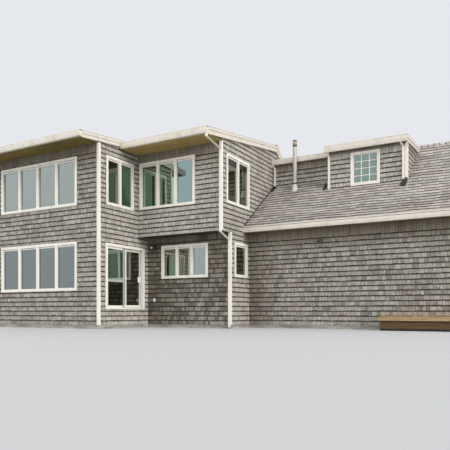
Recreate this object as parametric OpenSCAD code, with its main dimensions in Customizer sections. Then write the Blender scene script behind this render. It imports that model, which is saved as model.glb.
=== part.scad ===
// Shingled beach house: a left block, a stepped centre block and a long wing with two dormers.
// Millimetres. X runs right along the fronts, Y into the house, Z up from the lowest ground.
// The origin is at the middle of the outline on the ground.

/* [Blocks] */
// Width of the left block across its front
left_w = 5600; // [5200:50:7000]
// Width of the centre block across its front
centre_w = 3390; // [3000:10:4500]
// Length of the wing on the right
wing_w = 8010; // [6400:10:10000]
// Depth from the left block's front wall to the back wall
house_d = 11242; // [10700:1:12500]
// How far the centre block's upper front stands back from the left block
upper_setback = 1950; // [1830:10:2200]
// How far the centre block's upper storey stands out over the lower one
jetty = 580; // [520:10:700]
// How far the wing's front wall stands back from the left block
wing_setback = 3870; // [3820:10:4000]
// Thickness of the framed walls
wall_t = 165; // [140:5:200]

/* [Levels] */
// Height of the foundation above the lowest ground
foundation_h = 124; // [100:2:300]
// Top of the ground floor
ground_floor_z = 680; // [660:10:760]
// Thickness of the ground floor
ground_floor_t = 300; // [200:10:340]
// Top of the upper floor
upper_floor_z = 3480; // [3400:10:3600]
// Thickness of the upper floor, which shows below the jetty
upper_floor_t = 318; // [260:2:340]

/* [Low roofs] */
// Slope of the left block's roof, rise over run
left_pitch = 0.095; // [0.07:0.005:0.11]
// Overhang of the left block's roof at the front, gutter included
left_eave = 904; // [600:2:1000]
// Roof line of the left block above the gutter's face
left_eave_z = 6097; // [6050:1:6200]
// Slope of the centre block's roof, rise over run
centre_pitch = 0.144; // [0.13:0.002:0.16]
// Overhang of the centre block's roof at the front, gutter included
centre_eave = 978; // [700:2:1000]
// Roof line of the centre block above the gutter's face
centre_eave_z = 6187; // [6150:1:6250]
// Distance of the centre block's ridge behind its upper front wall
centre_ridge_in = 4171; // [4000:1:4300]
// Height of the low roofs' slab, measured upright
low_roof_t = 200; // [180:5:230]

/* [Wing roof] */
// Slope of the wing's roof, rise over run
wing_pitch = 0.75; // [0.7:0.01:0.8]
// Overhang of the wing's eaves, gutter included
wing_eave = 451; // [350:1:500]
// Roof line of the wing and the back above the gutter's face
wing_eave_z = 3428; // [3400:1:3480]
// Height of the wing's roof slab, measured upright
wing_roof_t = 190; // [150:5:220]

/* [Dormers] */
// Distance of the small dormer's front wall behind the wing's front wall
small_dormer_in = 1995; // [1900:5:2100]
// Width of the small dormer
small_dormer_w = 2354; // [2000:2:2600]
// Roof line of the small dormer above its gutter's face
small_dormer_z = 6259; // [6200:1:6300]
// Overhang of the small dormer's roof, gutter included
small_dormer_eave = 160; // [130:5:200]
// Distance of the large dormer's front wall behind the wing's front wall
large_dormer_in = 1440; // [1400:5:1600]
// Width of the large dormer
large_dormer_w = 2700; // [2500:10:3000]
// Roof line of the large dormer above its gutter's face
large_dormer_z = 6280; // [6250:1:6320]
// Overhang of the large dormer's roof, gutter included
large_dormer_eave = 256; // [200:2:300]
// Slope of the dormer roofs, rise over run
dormer_pitch = 0.056; // [0.03:0.002:0.08]
// Thickness of the dormer walls
dormer_wall_t = 120; // [100:5:150]
// Height of the dormer roofs' slabs, measured upright
dormer_roof_t = 150; // [120:5:170]
// Height of the rake boards on the large dormer
dormer_rake_h = 190; // [150:5:210]

/* [Gutters and trim] */
// Depth of the gutters, front to back
gutter_w = 115; // [100:5:130]
// Depth of the dormers' gutters, front to back
dormer_gutter_w = 95; // [80:5:110]
// Wall thickness of the gutters
gutter_t = 8; // [6:1:12]
// How far a gutter's rim lies below the roof line
gutter_drop = 15; // [10:1:25]
// Height of the left block's gutter
left_gutter_h = 155; // [120:1:170]
// Height of the centre block's gutter
centre_gutter_h = 173; // [140:1:185]
// Height of the gutters of the wing and the back
wing_gutter_h = 147; // [120:1:160]
// Height of the small dormer's gutter
small_gutter_h = 150; // [120:1:165]
// Height of the large dormer's gutter
large_gutter_h = 190; // [150:1:210]
// Height of the boards that close the roof's ends
rake_h = 223; // [200:1:250]
// Thickness of those boards
rake_t = 32; // [20:1:38]
// Height of the upper strip on those boards
rake_strip_h = 85; // [60:1:100]
// Thickness of that strip
rake_strip_t = 18; // [10:1:25]
// How far the left block's soffit lies above the bottom of its gutter
left_soffit_up = 20; // [10:5:35]
// How far the soffits of the wing and the back lie above the bottom of their gutters
wing_soffit_up = 10; // [5:5:25]
// Thickness of the soffit boards
soffit_t = 12; // [9:1:20]
// Width of the corner boards
corner_w = 60; // [50:5:120]
// How far the corner boards stand out from the wall
corner_t = 30; // [24:1:35]
// Height of the caps above the ridges
ridge_cap_t = 45; // [35:1:60]
// Half width of the ridge caps
ridge_cap_w = 130; // [100:5:180]

/* [Windows] */
// Width of the trim round a window, and of the posts between its panes
trim_w = 88; // [70:2:100]
// How far the trim stands out from the wall
trim_t = 30; // [24:1:40]
// How far the trim laps over the wall beside a window
trim_lap = 45; // [30:1:60]
// Distance of the glass behind the wall's face
glass_in = 30; // [20:1:60]
// Thickness of the double glazing
glass_t = 20; // [12:1:28]
// Width of the left block's front windows over their trim
left_window_w = 3723; // [3000:1:4200]
// Height of the left block's windows over their trim
left_window_h = 1604; // [1400:2:1640]
// Bottom of the left block's upper windows
left_upper_sill = 4036; // [4000:1:4100]
// Bottom of the left block's lower windows
left_lower_sill = 1245; // [1200:5:1300]
// Width of the two-pane side windows over their trim
side_window_w = 1373; // [1200:1:1450]
// Distance of the left block's side window from the near corner
side_window_in = 333; // [250:1:350]
// Width of the centre block's upper front window
centre_upper_w = 2296; // [2000:2:2400]
// Distance of that window from the inner corner
centre_upper_in = 95; // [60:1:150]
// Bottom of the centre block's upper windows
centre_upper_sill = 4091; // [4050:1:4120]
// Height of the centre block's upper windows
centre_upper_h = 1616; // [1400:2:1640]
// Width of the centre block's lower front window
centre_lower_w = 1925; // [1700:5:2100]
// Distance of that window from the inner corner
centre_lower_in = 612; // [500:2:700]
// Distance of the left end's first windows from the near corner
end_window_near = 3200; // [2500:50:4000]
// Distance of the left end's second windows from that corner
end_window_far = 7400; // [6500:50:8000]
// Bottom of the centre block's lower windows
centre_lower_sill = 1713; // [1650:1:1800]
// Height of the centre block's lower windows
centre_lower_h = 1158; // [1000:2:1200]
// Width of the centre block's upper side window
centre_side_upper_w = 1603; // [1400:1:1640]
// Distance of that window behind the upper front
centre_side_upper_in = 304; // [260:2:320]
// Width of the centre block's lower side window
centre_side_lower_w = 919; // [800:1:940]
// Distance of that window behind the lower front
centre_side_lower_in = 266; // [240:2:280]
// Bottom of the window in the wing's gable above the upper floor
gable_sill_up = 600; // [550:10:700]
// Width of the dormer's window
dormer_window_w = 1000; // [900:10:1100]
// Distance of that window from the large dormer's left side
dormer_window_in = 829; // [700:1:900]
// Height of the dormer's window
dormer_window_h = 1140; // [1000:10:1140]
// Bottom of the dormer's window above the roof at the dormer's front wall
dormer_sill_up = 10; // [10:1:30]
// Depth of the dormer window's frame behind the wall's face
dormer_frame_d = 70; // [60:1:72]

/* [Patio door] */
// Distance of the door's trim from the near corner
door_in = 295; // [240:5:300]
// Width of the door over its trim
door_w = 2012; // [1950:1:2020]
// Top of the door's trim
door_top = 2790; // [2750:5:2900]
// Thickness of the sliding and fixed door panels
panel_t = 38; // [32:1:44]
// Width of the panels' stiles and rails
stile_w = 75; // [60:1:90]
// Width of the fixed panel
fixed_panel_w = 895; // [850:1:960]
// Height of the fixed panel's middle rail above the floor
mid_rail_z = 900; // [800:10:1100]
// Clearance round the sliding panel
slide_gap = 6; // [5:1:10]
// Clearance between the two tracks
track_gap = 12; // [8:1:14]
// Clearance under the rollers
roller_gap = 0.3; // [0.2:0.1:0.5]
// Radius of the rollers
roller_r = 14; // [10:1:18]
// Height of the track ribs
track_h = 6; // [4:1:8]
// Height of the door handle's middle above the floor
handle_z = 1000; // [900:10:1100]
// Length of the door handle
handle_l = 190; // [150:5:240]

/* [Pipes and fittings] */
// Width of the downspouts
spout_w = 70; // [60:1:80]
// Depth of the downspouts
spout_d = 52; // [45:1:60]
// Diameter of the vent pipe
vent_d = 147; // [120:1:160]
// Distance of the vent pipe from the centre block
vent_in = 1020; // [700:10:1500]
// Distance of the vent pipe in front of the small dormer
vent_out = 305; // [290:1:330]
// Top of the vent pipe
vent_top = 6840; // [6700:10:6900]
// Distance of the wall light from the inner corner
light_in = 330; // [200:5:400]
// Height of the wall light
light_z = 2870; // [2800:5:2900]
// Distance of the outlet cover from the inner corner
outlet_in = 300; // [200:5:450]
// Height of the outlet cover
outlet_z = 965; // [900:5:1100]
// Distance of the wing's wall vent from the centre block
wall_vent_in = 2620; // [2000:10:3200]
// Height of the wing's wall vent
wall_vent_z = 2890; // [2700:10:3000]
// Side of the wall vent
wall_vent_w = 190; // [150:5:240]

/* [Deck] */
// Length of the deck before the wing
deck_w = 3230; // [2400:10:3600]
// Depth of the deck
deck_d = 970; // [800:10:1200]
// Top of the deck
deck_z = 413; // [380:1:440]
// Thickness of the deck boards
plank_t = 38; // [30:1:45]
// Height of the board round the deck's edge
rim_h = 123; // [100:1:140]
// Thickness of the rim and skirt boards
rim_t = 38; // [30:1:50]
// Distance of the skirt board behind the rim
skirt_in = 60; // [40:5:100]

/* [Hidden] */
$fn = 48;

// Where sloping pieces rest on each other
seat_gap = 0.3;
low_slab_t = low_roof_t - seat_gap;
wing_slab_t = wing_roof_t - seat_gap;
dormer_slab_t = dormer_roof_t - seat_gap;

rake_out = rake_t + rake_strip_t;
overall_w = left_w + centre_w + wing_w + 2 * rake_out;
overall_d = left_eave + house_d + wing_eave;

// Stations across the house, from the left end to the wing's end
x_left = -overall_w / 2 + rake_out;
x_corner = x_left + left_w;
x_centre = x_corner + centre_w;
x_right = x_centre + wing_w;

// Stations into the house, from the left block's front to the back
y_left = -overall_d / 2 + left_eave;
y_upper = y_left + upper_setback;
y_lower = y_upper + jetty;
y_wing = y_left + wing_setback;
y_back = y_left + house_d;

jetty_z = upper_floor_z - upper_floor_t;
trim_hole = trim_w - trim_lap;

// Roof lines: each gives the height of a roof's top at a distance into the house
y_left_eave = y_left - left_eave;
y_centre_eave = y_upper - centre_eave;
y_wing_eave = y_wing - wing_eave;
y_back_eave = y_back + wing_eave;
y_centre_ridge = y_upper + centre_ridge_in;
function left_top(y) = left_eave_z + left_pitch * (y - y_left_eave);
function centre_top(y) = centre_eave_z + centre_pitch * (y - y_centre_eave);
back_pitch = (centre_top(y_centre_ridge) - wing_eave_z) / (y_back_eave - y_centre_ridge);
function back_top(y) = wing_eave_z + back_pitch * (y_back_eave - y);
function wing_top(y) = wing_eave_z + wing_pitch * min(y - y_wing_eave, y_back_eave - y);
y_left_ridge = (wing_eave_z + back_pitch * y_back_eave - left_eave_z + left_pitch * y_left_eave)
    / (left_pitch + back_pitch);
y_wing_ridge = (y_wing_eave + y_back_eave) / 2;
y_roofs_cross = (back_pitch * y_back_eave + wing_pitch * y_wing_eave) / (wing_pitch + back_pitch);
y_gable = y_roofs_cross + (wing_roof_t - low_roof_t) / (wing_pitch + back_pitch);

left_soffit_z = left_eave_z - gutter_drop - left_gutter_h + left_soffit_up;
centre_soffit_z = centre_eave_z - gutter_drop - centre_gutter_h;
wing_soffit_z = wing_eave_z - gutter_drop - wing_gutter_h + wing_soffit_up;

// Dormers: front walls, roof lines and the places where their roofs run into the wing's roof
y_small = y_wing + small_dormer_in;
y_large = y_wing + large_dormer_in;
x_large = x_centre + small_dormer_w;
x_large_end = x_large + large_dormer_w;
function dormer_top(y, wall_y, eave, z) = z + dormer_pitch * (y - wall_y + eave);
function small_top(y) = dormer_top(y, y_small, small_dormer_eave, small_dormer_z);
function large_top(y) = dormer_top(y, y_large, large_dormer_eave, large_dormer_z);
function wing_seat(y) = wing_top(y) + seat_gap;
function meets_wing(y, z) = y + (z - wing_seat(y)) / (wing_pitch - dormer_pitch);
dormer_sill = wing_top(y_large) + dormer_sill_up;
x_deck_end = x_right - corner_w;
x_deck = x_deck_end - deck_w;

// Door: clear opening between the frame's jambs, and the two tracks
y_door = y_left + door_in;
y_jamb_near = y_door + trim_w;
y_jamb_far = y_door + door_w - trim_w;
door_head = door_top - trim_w;
door_hole_top = door_top - trim_hole;
door_frame_drop = 40;
door_hole_bottom = ground_floor_z - door_frame_drop;
sill_t = 4;
sill_z = ground_floor_z + sill_t;
rib_w = 8;
track_z = sill_z + track_h;
panel_in = 20;
x_outer_track = x_corner - panel_in - panel_t;
x_inner_track = x_outer_track - track_gap - panel_t;
y_fixed_end = y_jamb_near + fixed_panel_w;
y_slider = y_fixed_end - stile_w;
slider_w = y_jamb_far - slide_gap - y_slider;
slider_lift = 8;
slider_z = track_z + slider_lift;
slider_h = door_head - slide_gap - slider_z;

// Passage through the centre block's side wall, under the wing's roof
passage_w = 1500;
passage_h = 1850;
passage_head = 60;
y_passage = y_wing_eave
    + (upper_floor_z + passage_h + passage_head + wing_roof_t - wing_eave_z) / wing_pitch;

// Windows: [x, y, turn, bottom, width, height, panes]
FRONT = 0;
RIGHT_SIDE = 90;
BACK = 180;
LEFT_SIDE = -90;
left_window_x = (x_left + x_corner - left_window_w) / 2;
end_window_y = [y_left + end_window_near, y_left + end_window_far];
wing_end_y = y_wing_ridge - side_window_w / 2;
LEFT_FRONT_WINDOWS = [
    for (sill = [left_lower_sill, left_upper_sill])
        [left_window_x, y_left, FRONT, sill, left_window_w, left_window_h, 4]];
LEFT_SIDE_WINDOWS = [
    [x_corner, y_left + side_window_in, RIGHT_SIDE, left_upper_sill, side_window_w, left_window_h, 2]];
LEFT_END_WINDOWS = [
    for (y = end_window_y, sill = [left_lower_sill, left_upper_sill])
        [x_left, y, LEFT_SIDE, sill, side_window_w, left_window_h, 2]];
LEFT_BACK_WINDOWS = [
    [x_corner - (left_w - centre_lower_w) / 2, y_back, BACK, centre_lower_sill,
        centre_lower_w, centre_lower_h, 3]];
CENTRE_UPPER_WINDOWS = [
    [x_corner + centre_upper_in, y_upper, FRONT, centre_upper_sill, centre_upper_w, centre_upper_h, 3]];
CENTRE_LOWER_WINDOWS = [
    [x_corner + centre_lower_in, y_lower, FRONT, centre_lower_sill, centre_lower_w, centre_lower_h, 3]];
CENTRE_SIDE_WINDOWS = [
    [x_centre, y_upper + centre_side_upper_in, RIGHT_SIDE, centre_upper_sill,
        centre_side_upper_w, centre_upper_h, 2],
    [x_centre, y_lower + centre_side_lower_in, RIGHT_SIDE, centre_lower_sill,
        centre_side_lower_w, centre_lower_h, 1]];
CENTRE_BACK_WINDOWS = [
    [x_centre - (centre_w - centre_lower_w) / 2, y_back, BACK, centre_lower_sill,
        centre_lower_w, centre_lower_h, 3]];
WING_BACK_WINDOWS = [
    for (x = [x_centre + wing_w / 3, x_centre + wing_w * 2 / 3])
        [x + centre_lower_w / 2, y_back, BACK, centre_lower_sill, centre_lower_w, centre_lower_h, 3]];
WING_END_WINDOWS = [
    [x_right, wing_end_y, RIGHT_SIDE, centre_lower_sill, side_window_w, centre_lower_h, 2],
    [x_right, wing_end_y, RIGHT_SIDE, upper_floor_z + gable_sill_up, side_window_w, centre_lower_h, 2]];
DORMER_WINDOWS = [
    [x_large + dormer_window_in, y_large, FRONT, dormer_sill, dormer_window_w, dormer_window_h, 1]];

trim_colour = [0.92, 0.89, 0.82];
shingle_colour = [0.50, 0.46, 0.43];
roof_colour = [0.55, 0.50, 0.47];
soffit_colour = [0.50, 0.42, 0.28];
glass_colour = [0.45, 0.55, 0.55];

// A profile drawn in Y and Z, carried along X
module along_x(x0, x1) translate([x0, 0, 0]) rotate([90, 0, 90]) linear_extrude(x1 - x0) children();

// A box from one corner to the opposite one
module block(a, b) translate(a) cube(b - a);

// The house's outline in plan, drawn in from the walls' outer faces
function outline(inset, step_y) = [
    [x_left + inset, y_left + inset], [x_corner - inset, y_left + inset],
    [x_corner - inset, step_y + inset], [x_centre - inset, step_y + inset],
    [x_centre - inset, y_wing + inset], [x_right - inset, y_wing + inset],
    [x_right - inset, y_back - inset], [x_left + inset, y_back - inset]];

module at_window(win) translate([win[0], win[1], win[3]]) rotate([0, 0, win[2]]) children();

function opening_w(win) = win[4] - 2 * trim_w;
function pane_w(win) = (opening_w(win) - (win[6] - 1) * trim_w) / win[6];

// One block through each pane of a window
module panes(win, y0, y1) {
    step = pane_w(win) + trim_w;
    for (i = [0 : win[6] - 1])
        translate([trim_w + i * step, y0, trim_w]) cube([pane_w(win), y1 - y0, win[5] - 2 * trim_w]);
}

module window_holes(windows, depth = wall_t) {
    for (win = windows)
        at_window(win) translate([trim_lap, -1, trim_lap])
            cube([win[4] - 2 * trim_lap, depth + 2, win[5] - 2 * trim_lap]);
}

module window_frames(windows, depth = wall_t) {
    for (win = windows) at_window(win) difference() {
        union() {
            translate([0, -trim_t, 0]) cube([win[4], trim_t, win[5]]);
            translate([trim_lap, 0, trim_lap])
                cube([win[4] - 2 * trim_lap, depth, win[5] - 2 * trim_lap]);
        }
        panes(win, -trim_t - 1, depth + 1);
    }
}

module window_glass(windows) {
    for (win = windows) at_window(win) panes(win, glass_in, glass_in + glass_t);
}

// Concrete stem wall under the outer walls
module foundation() color([0.6, 0.6, 0.58]) linear_extrude(foundation_h) difference() {
    polygon(outline(0, y_lower));
    polygon(outline(wall_t, y_lower));
}

module ground_floor() color([0.6, 0.5, 0.35])
    translate([0, 0, ground_floor_z - ground_floor_t])
        linear_extrude(ground_floor_t) polygon(outline(wall_t, y_lower));

module upper_floor() color([0.6, 0.5, 0.35])
    translate([0, 0, jetty_z]) linear_extrude(upper_floor_t) polygon(outline(wall_t, y_upper));

module left_front_wall() color(shingle_colour) difference() {
    along_x(x_left, x_corner) polygon([
        [y_left, foundation_h], [y_left + wall_t, foundation_h],
        [y_left + wall_t, left_top(y_left + wall_t) - low_roof_t],
        [y_left, left_soffit_z + soffit_t]]);
    window_holes(LEFT_FRONT_WINDOWS);
}

module left_end_wall() color(shingle_colour) difference() {
    along_x(x_left, x_left + wall_t) polygon([
        [y_left + wall_t, foundation_h], [y_back - wall_t, foundation_h],
        [y_back - wall_t, back_top(y_back - wall_t) - low_roof_t],
        [y_left_ridge, left_top(y_left_ridge) - low_roof_t],
        [y_left + wall_t, left_top(y_left + wall_t) - low_roof_t]]);
    window_holes(LEFT_END_WINDOWS);
}

module door_near_pier() color(shingle_colour)
    block([x_corner - wall_t, y_left + wall_t, foundation_h],
        [x_corner, y_door + trim_lap, door_hole_top]);

module door_far_pier() color(shingle_colour)
    block([x_corner - wall_t, y_door + door_w - trim_lap, foundation_h],
        [x_corner, y_lower + wall_t, door_hole_top]);

module door_sill_wall() color(shingle_colour)
    block([x_corner - wall_t, y_door + trim_lap, foundation_h],
        [x_corner, y_door + door_w - trim_lap, door_hole_bottom]);

module left_side_wall() color(shingle_colour) difference() {
    along_x(x_corner - wall_t, x_corner) polygon([
        [y_left + wall_t, door_hole_top], [y_lower + wall_t, door_hole_top],
        [y_lower + wall_t, jetty_z], [y_upper + wall_t, jetty_z],
        [y_upper + wall_t, left_top(y_upper + wall_t) - low_roof_t],
        [y_left + wall_t, left_top(y_left + wall_t) - low_roof_t]]);
    window_holes(LEFT_SIDE_WINDOWS);
}

module centre_lower_wall() color(shingle_colour) difference() {
    block([x_corner, y_lower, foundation_h], [x_centre, y_lower + wall_t, jetty_z]);
    window_holes(CENTRE_LOWER_WINDOWS);
}

module centre_upper_wall() color(shingle_colour) difference() {
    along_x(x_corner, x_centre) polygon([
        [y_upper, jetty_z], [y_upper + wall_t, jetty_z],
        [y_upper + wall_t, centre_top(y_upper + wall_t) - low_roof_t],
        [y_upper, centre_soffit_z + soffit_t]]);
    window_holes(CENTRE_UPPER_WINDOWS);
}

module centre_side_wall() color(shingle_colour) difference() {
    along_x(x_centre - wall_t, x_centre) polygon([
        [y_lower + wall_t, foundation_h], [y_wing + wall_t, foundation_h],
        [y_wing + wall_t, upper_floor_z], [y_back - wall_t, upper_floor_z],
        [y_back - wall_t, back_top(y_back - wall_t) - low_roof_t],
        [y_centre_ridge, centre_top(y_centre_ridge) - low_roof_t],
        [y_upper + wall_t, centre_top(y_upper + wall_t) - low_roof_t],
        [y_upper + wall_t, jetty_z], [y_lower + wall_t, jetty_z]]);
    window_holes(CENTRE_SIDE_WINDOWS);
    block([x_centre - wall_t - 1, y_passage, upper_floor_z - 1],
        [x_centre + 1, y_passage + passage_w, upper_floor_z + passage_h]);
}

module wing_front_wall() color(shingle_colour)
    along_x(x_centre, x_right) polygon([
        [y_wing, foundation_h], [y_wing + wall_t, foundation_h],
        [y_wing + wall_t, wing_top(y_wing + wall_t) - wing_roof_t],
        [y_wing, wing_soffit_z + soffit_t]]);

module wing_end_wall() color(shingle_colour) difference() {
    along_x(x_right - wall_t, x_right) polygon([
        [y_wing + wall_t, foundation_h], [y_back - wall_t, foundation_h],
        [y_back - wall_t, wing_top(y_back - wall_t) - wing_roof_t],
        [y_wing_ridge, wing_top(y_wing_ridge) - wing_roof_t],
        [y_wing + wall_t, wing_top(y_wing + wall_t) - wing_roof_t]]);
    window_holes(WING_END_WINDOWS);
}

// The back wall's top follows the main back roof, and behind the wing the wing's roof above it
module back_wall() color(shingle_colour) difference() {
    union() {
        along_x(x_left, x_right) polygon([
            [y_back - wall_t, foundation_h], [y_back, foundation_h],
            [y_back, wing_soffit_z + soffit_t],
            [y_back - wall_t, back_top(y_back - wall_t) - low_roof_t]]);
        along_x(x_centre, x_right) polygon([
            [y_back - wall_t, foundation_h], [y_back, foundation_h],
            [y_back, wing_soffit_z + soffit_t],
            [y_back - wall_t, wing_top(y_back - wall_t) - wing_roof_t]]);
    }
    window_holes(LEFT_BACK_WINDOWS);
    window_holes(CENTRE_BACK_WINDOWS);
    window_holes(WING_BACK_WINDOWS);
}

// Closes the wing's attic where its roof stands above the main back roof
module wing_left_gable() color(shingle_colour)
    along_x(x_centre, x_centre + dormer_wall_t) polygon([
        [y_gable, back_top(y_gable) - low_roof_t],
        [y_back - wall_t, back_top(y_back - wall_t) - low_roof_t],
        [y_back - wall_t, wing_top(y_back - wall_t) - wing_roof_t],
        [y_wing_ridge, wing_top(y_wing_ridge) - wing_roof_t]]);

module left_roof() color(roof_colour)
    along_x(x_left, x_corner) polygon([
        [y_left_eave + gutter_w, left_soffit_z + soffit_t],
        [y_left, left_soffit_z + soffit_t],
        [y_left + wall_t, left_top(y_left + wall_t) - low_slab_t],
        [y_left_ridge, left_top(y_left_ridge) - low_slab_t],
        [y_left_ridge, left_top(y_left_ridge)],
        [y_left_eave + gutter_w, left_top(y_left_eave + gutter_w)]]);

module centre_roof() color(roof_colour)
    along_x(x_corner + rake_out, x_centre) polygon([
        [y_centre_eave + gutter_w, centre_soffit_z + soffit_t],
        [y_upper, centre_soffit_z + soffit_t],
        [y_upper + wall_t, centre_top(y_upper + wall_t) - low_slab_t],
        [y_centre_ridge, centre_top(y_centre_ridge) - low_slab_t],
        [y_centre_ridge, centre_top(y_centre_ridge)],
        [y_centre_eave + gutter_w, centre_top(y_centre_eave + gutter_w)]]);

// One back slope serves the left and centre blocks, from each one's ridge to the common eave
module main_back_roof() color(roof_colour)
    for (part = [[x_left, x_corner + rake_out, y_left_ridge],
            [x_corner + rake_out, x_centre, y_centre_ridge]])
        along_x(part[0], part[1]) polygon([
            [part[2], back_top(part[2])],
            [y_back_eave - gutter_w, back_top(y_back_eave - gutter_w)],
            [y_back_eave - gutter_w, wing_soffit_z + soffit_t],
            [y_back, wing_soffit_z + soffit_t],
            [y_back - wall_t, back_top(y_back - wall_t) - low_slab_t],
            [part[2], back_top(part[2]) - low_slab_t]]);

module wing_front_roof() color(roof_colour) difference() {
    along_x(x_centre, x_right) polygon([
        [y_wing_eave + gutter_w, wing_soffit_z + soffit_t],
        [y_wing, wing_soffit_z + soffit_t],
        [y_wing + wall_t, wing_top(y_wing + wall_t) - wing_slab_t],
        [y_wing_ridge, wing_top(y_wing_ridge) - wing_slab_t],
        [y_wing_ridge, wing_top(y_wing_ridge)],
        [y_wing_eave + gutter_w, wing_top(y_wing_eave + gutter_w)]]);
    block([x_centre + dormer_wall_t, y_small + dormer_wall_t, wing_eave_z],
        [x_large, meets_wing(y_small, small_top(y_small) - dormer_slab_t), vent_top]);
    block([x_large + dormer_wall_t, y_large + dormer_wall_t, wing_eave_z],
        [x_large_end - dormer_wall_t, meets_wing(y_large, large_top(y_large) - dormer_slab_t), vent_top]);
}

module wing_back_roof() color(roof_colour)
    along_x(x_centre, x_right) polygon([
        [y_wing_ridge, wing_top(y_wing_ridge)],
        [y_back_eave - gutter_w, wing_top(y_back_eave - gutter_w)],
        [y_back_eave - gutter_w, wing_soffit_z + soffit_t],
        [y_back, wing_soffit_z + soffit_t],
        [y_back - wall_t, wing_top(y_back - wall_t) - wing_slab_t],
        [y_wing_ridge, wing_top(y_wing_ridge) - wing_slab_t]]);

module small_dormer_wall() color(shingle_colour)
    along_x(x_centre, x_large) polygon([
        [y_small, wing_seat(y_small)],
        [y_small + dormer_wall_t, wing_seat(y_small + dormer_wall_t)],
        [y_small + dormer_wall_t, small_top(y_small + dormer_wall_t) - dormer_roof_t],
        [y_small, small_top(y_small) - dormer_roof_t]]);

// Front wall and the two cheeks that run back into the wing's roof
module large_dormer_walls() color(shingle_colour) difference() {
    y_end = meets_wing(y_large, large_top(y_large) - dormer_roof_t);
    along_x(x_large, x_large_end) polygon([
        [y_large, wing_seat(y_large)], [y_end, wing_seat(y_end)],
        [y_large, large_top(y_large) - dormer_roof_t]]);
    block([x_large + dormer_wall_t, y_large + dormer_wall_t, wing_eave_z],
        [x_large_end - dormer_wall_t, y_end + dormer_wall_t, vent_top]);
    window_holes(DORMER_WINDOWS, dormer_wall_t);
}

module dormer_slab(x0, x1, y0, y_wall, top, bottom)
    along_x(x0, x1) polygon([
        [y0, bottom - dormer_pitch * (y_wall - y0)],
        [meets_wing(y_wall, bottom), wing_seat(meets_wing(y_wall, bottom))],
        [meets_wing(y_wall, top), wing_seat(meets_wing(y_wall, top))],
        [y0, top - dormer_pitch * (y_wall - y0)]]);

module small_dormer_roof() color(roof_colour)
    dormer_slab(x_centre, x_large, y_small - small_dormer_eave + dormer_gutter_w, y_small,
        small_top(y_small), small_top(y_small) - dormer_slab_t);

module large_dormer_roof() color(roof_colour)
    dormer_slab(x_large, x_large_end, y_large - large_dormer_eave + dormer_gutter_w, y_large,
        large_top(y_large), large_top(y_large) - dormer_slab_t);

// Boards under the eaves, from the gutter to the wall
module soffits() color(soffit_colour) {
    block([x_left, y_left_eave + gutter_w, left_soffit_z], [x_corner, y_left, left_soffit_z + soffit_t]);
    block([x_corner, y_centre_eave + gutter_w, centre_soffit_z],
        [x_centre, y_upper, centre_soffit_z + soffit_t]);
    block([x_centre, y_wing_eave + gutter_w, wing_soffit_z], [x_right, y_wing, wing_soffit_z + soffit_t]);
    block([x_left, y_back, wing_soffit_z], [x_right, y_back_eave - gutter_w, wing_soffit_z + soffit_t]);
}

// A gutter's outline in Y and Z, its face at y = 0 and its rim at z = 0. The face is upright down to
// the bend and then leans back to the foot.
gutter_bend = 0.55;
gutter_foot = 0.12;
function gutter_outline(w, h) =
    [[0, 0], [0, -h * gutter_bend], [w * gutter_foot, -h], [w, -h], [w, 0]];

module trough(w, h) difference() {
    polygon(gutter_outline(w, h));
    polygon([[gutter_t, 1], [gutter_t, gutter_t / 2 - h * gutter_bend],
        [w * gutter_foot + gutter_t, gutter_t - h], [w - gutter_t, gutter_t - h], [w - gutter_t, 1]]);
}

// A gutter along X with closed ends
module gutter(x0, x1, y, z, w, h) translate([0, y, z]) {
    along_x(x0, x1) trough(w, h);
    for (x = [x0, x1 - gutter_t]) along_x(x, x + gutter_t) polygon(gutter_outline(w, h));
}

module house_gutters() color(trim_colour) {
    gutter_split = 2;
    gutter(x_left - rake_out, x_corner + rake_out, y_left_eave, left_eave_z - gutter_drop,
        gutter_w, left_gutter_h);
    gutter(x_corner + rake_out + gutter_split, x_centre + rake_out, y_centre_eave,
        centre_eave_z - gutter_drop, gutter_w, centre_gutter_h);
    gutter(x_centre, x_right + rake_out, y_wing_eave, wing_eave_z - gutter_drop,
        gutter_w, wing_gutter_h);
    translate([0, y_back_eave, 0]) mirror([0, 1, 0])
        gutter(x_left - rake_out, x_right + rake_out, 0, wing_eave_z - gutter_drop,
            gutter_w, wing_gutter_h);
}

module dormer_gutters() color(trim_colour) {
    gutter(x_centre, x_large, y_small - small_dormer_eave, small_dormer_z - gutter_drop,
        dormer_gutter_w, small_gutter_h);
    gutter(x_large - rake_out, x_large_end + rake_out, y_large - large_dormer_eave,
        large_dormer_z - gutter_drop, dormer_gutter_w, large_gutter_h);
}

// A rake board on the side of a slab: a full board and a strip over its upper edge.
// Its top runs from y0, z0 to y1, z1, and it stands out to the right or to the left of x.
module rake(x, out, y0, z0, y1, z1, h) {
    board_x = out > 0 ? x : x - rake_t;
    strip_x = out > 0 ? x + rake_t : x - rake_out;
    along_x(board_x, board_x + rake_t)
        polygon([[y0, z0], [y1, z1], [y1, z1 - h], [y0, z0 - h]]);
    along_x(strip_x, strip_x + rake_strip_t)
        polygon([[y0, z0], [y1, z1], [y1, z1 - rake_strip_h], [y0, z0 - rake_strip_h]]);
}

// All that lies under the roof lines of the wing and the small dormer, to cut what stands on them
module under_wing_roof() {
    y_small_eave = y_small - small_dormer_eave;
    y_small_end = meets_wing(y_small, small_top(y_small));
    along_x(x_centre - 1, x_right + rake_out + 1) polygon([
        [y_wing_eave, 0], [y_wing_eave, wing_seat(y_wing_eave)], [y_wing_ridge, wing_seat(y_wing_ridge)],
        [y_back_eave, wing_seat(y_back_eave)], [y_back_eave, 0]]);
    along_x(x_centre - 1, x_large) polygon([
        [y_small_eave, 0], [y_small_eave, small_top(y_small_eave) + seat_gap],
        [y_small_end, small_top(y_small_end) + seat_gap], [y_small_end, 0]]);
}

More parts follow.
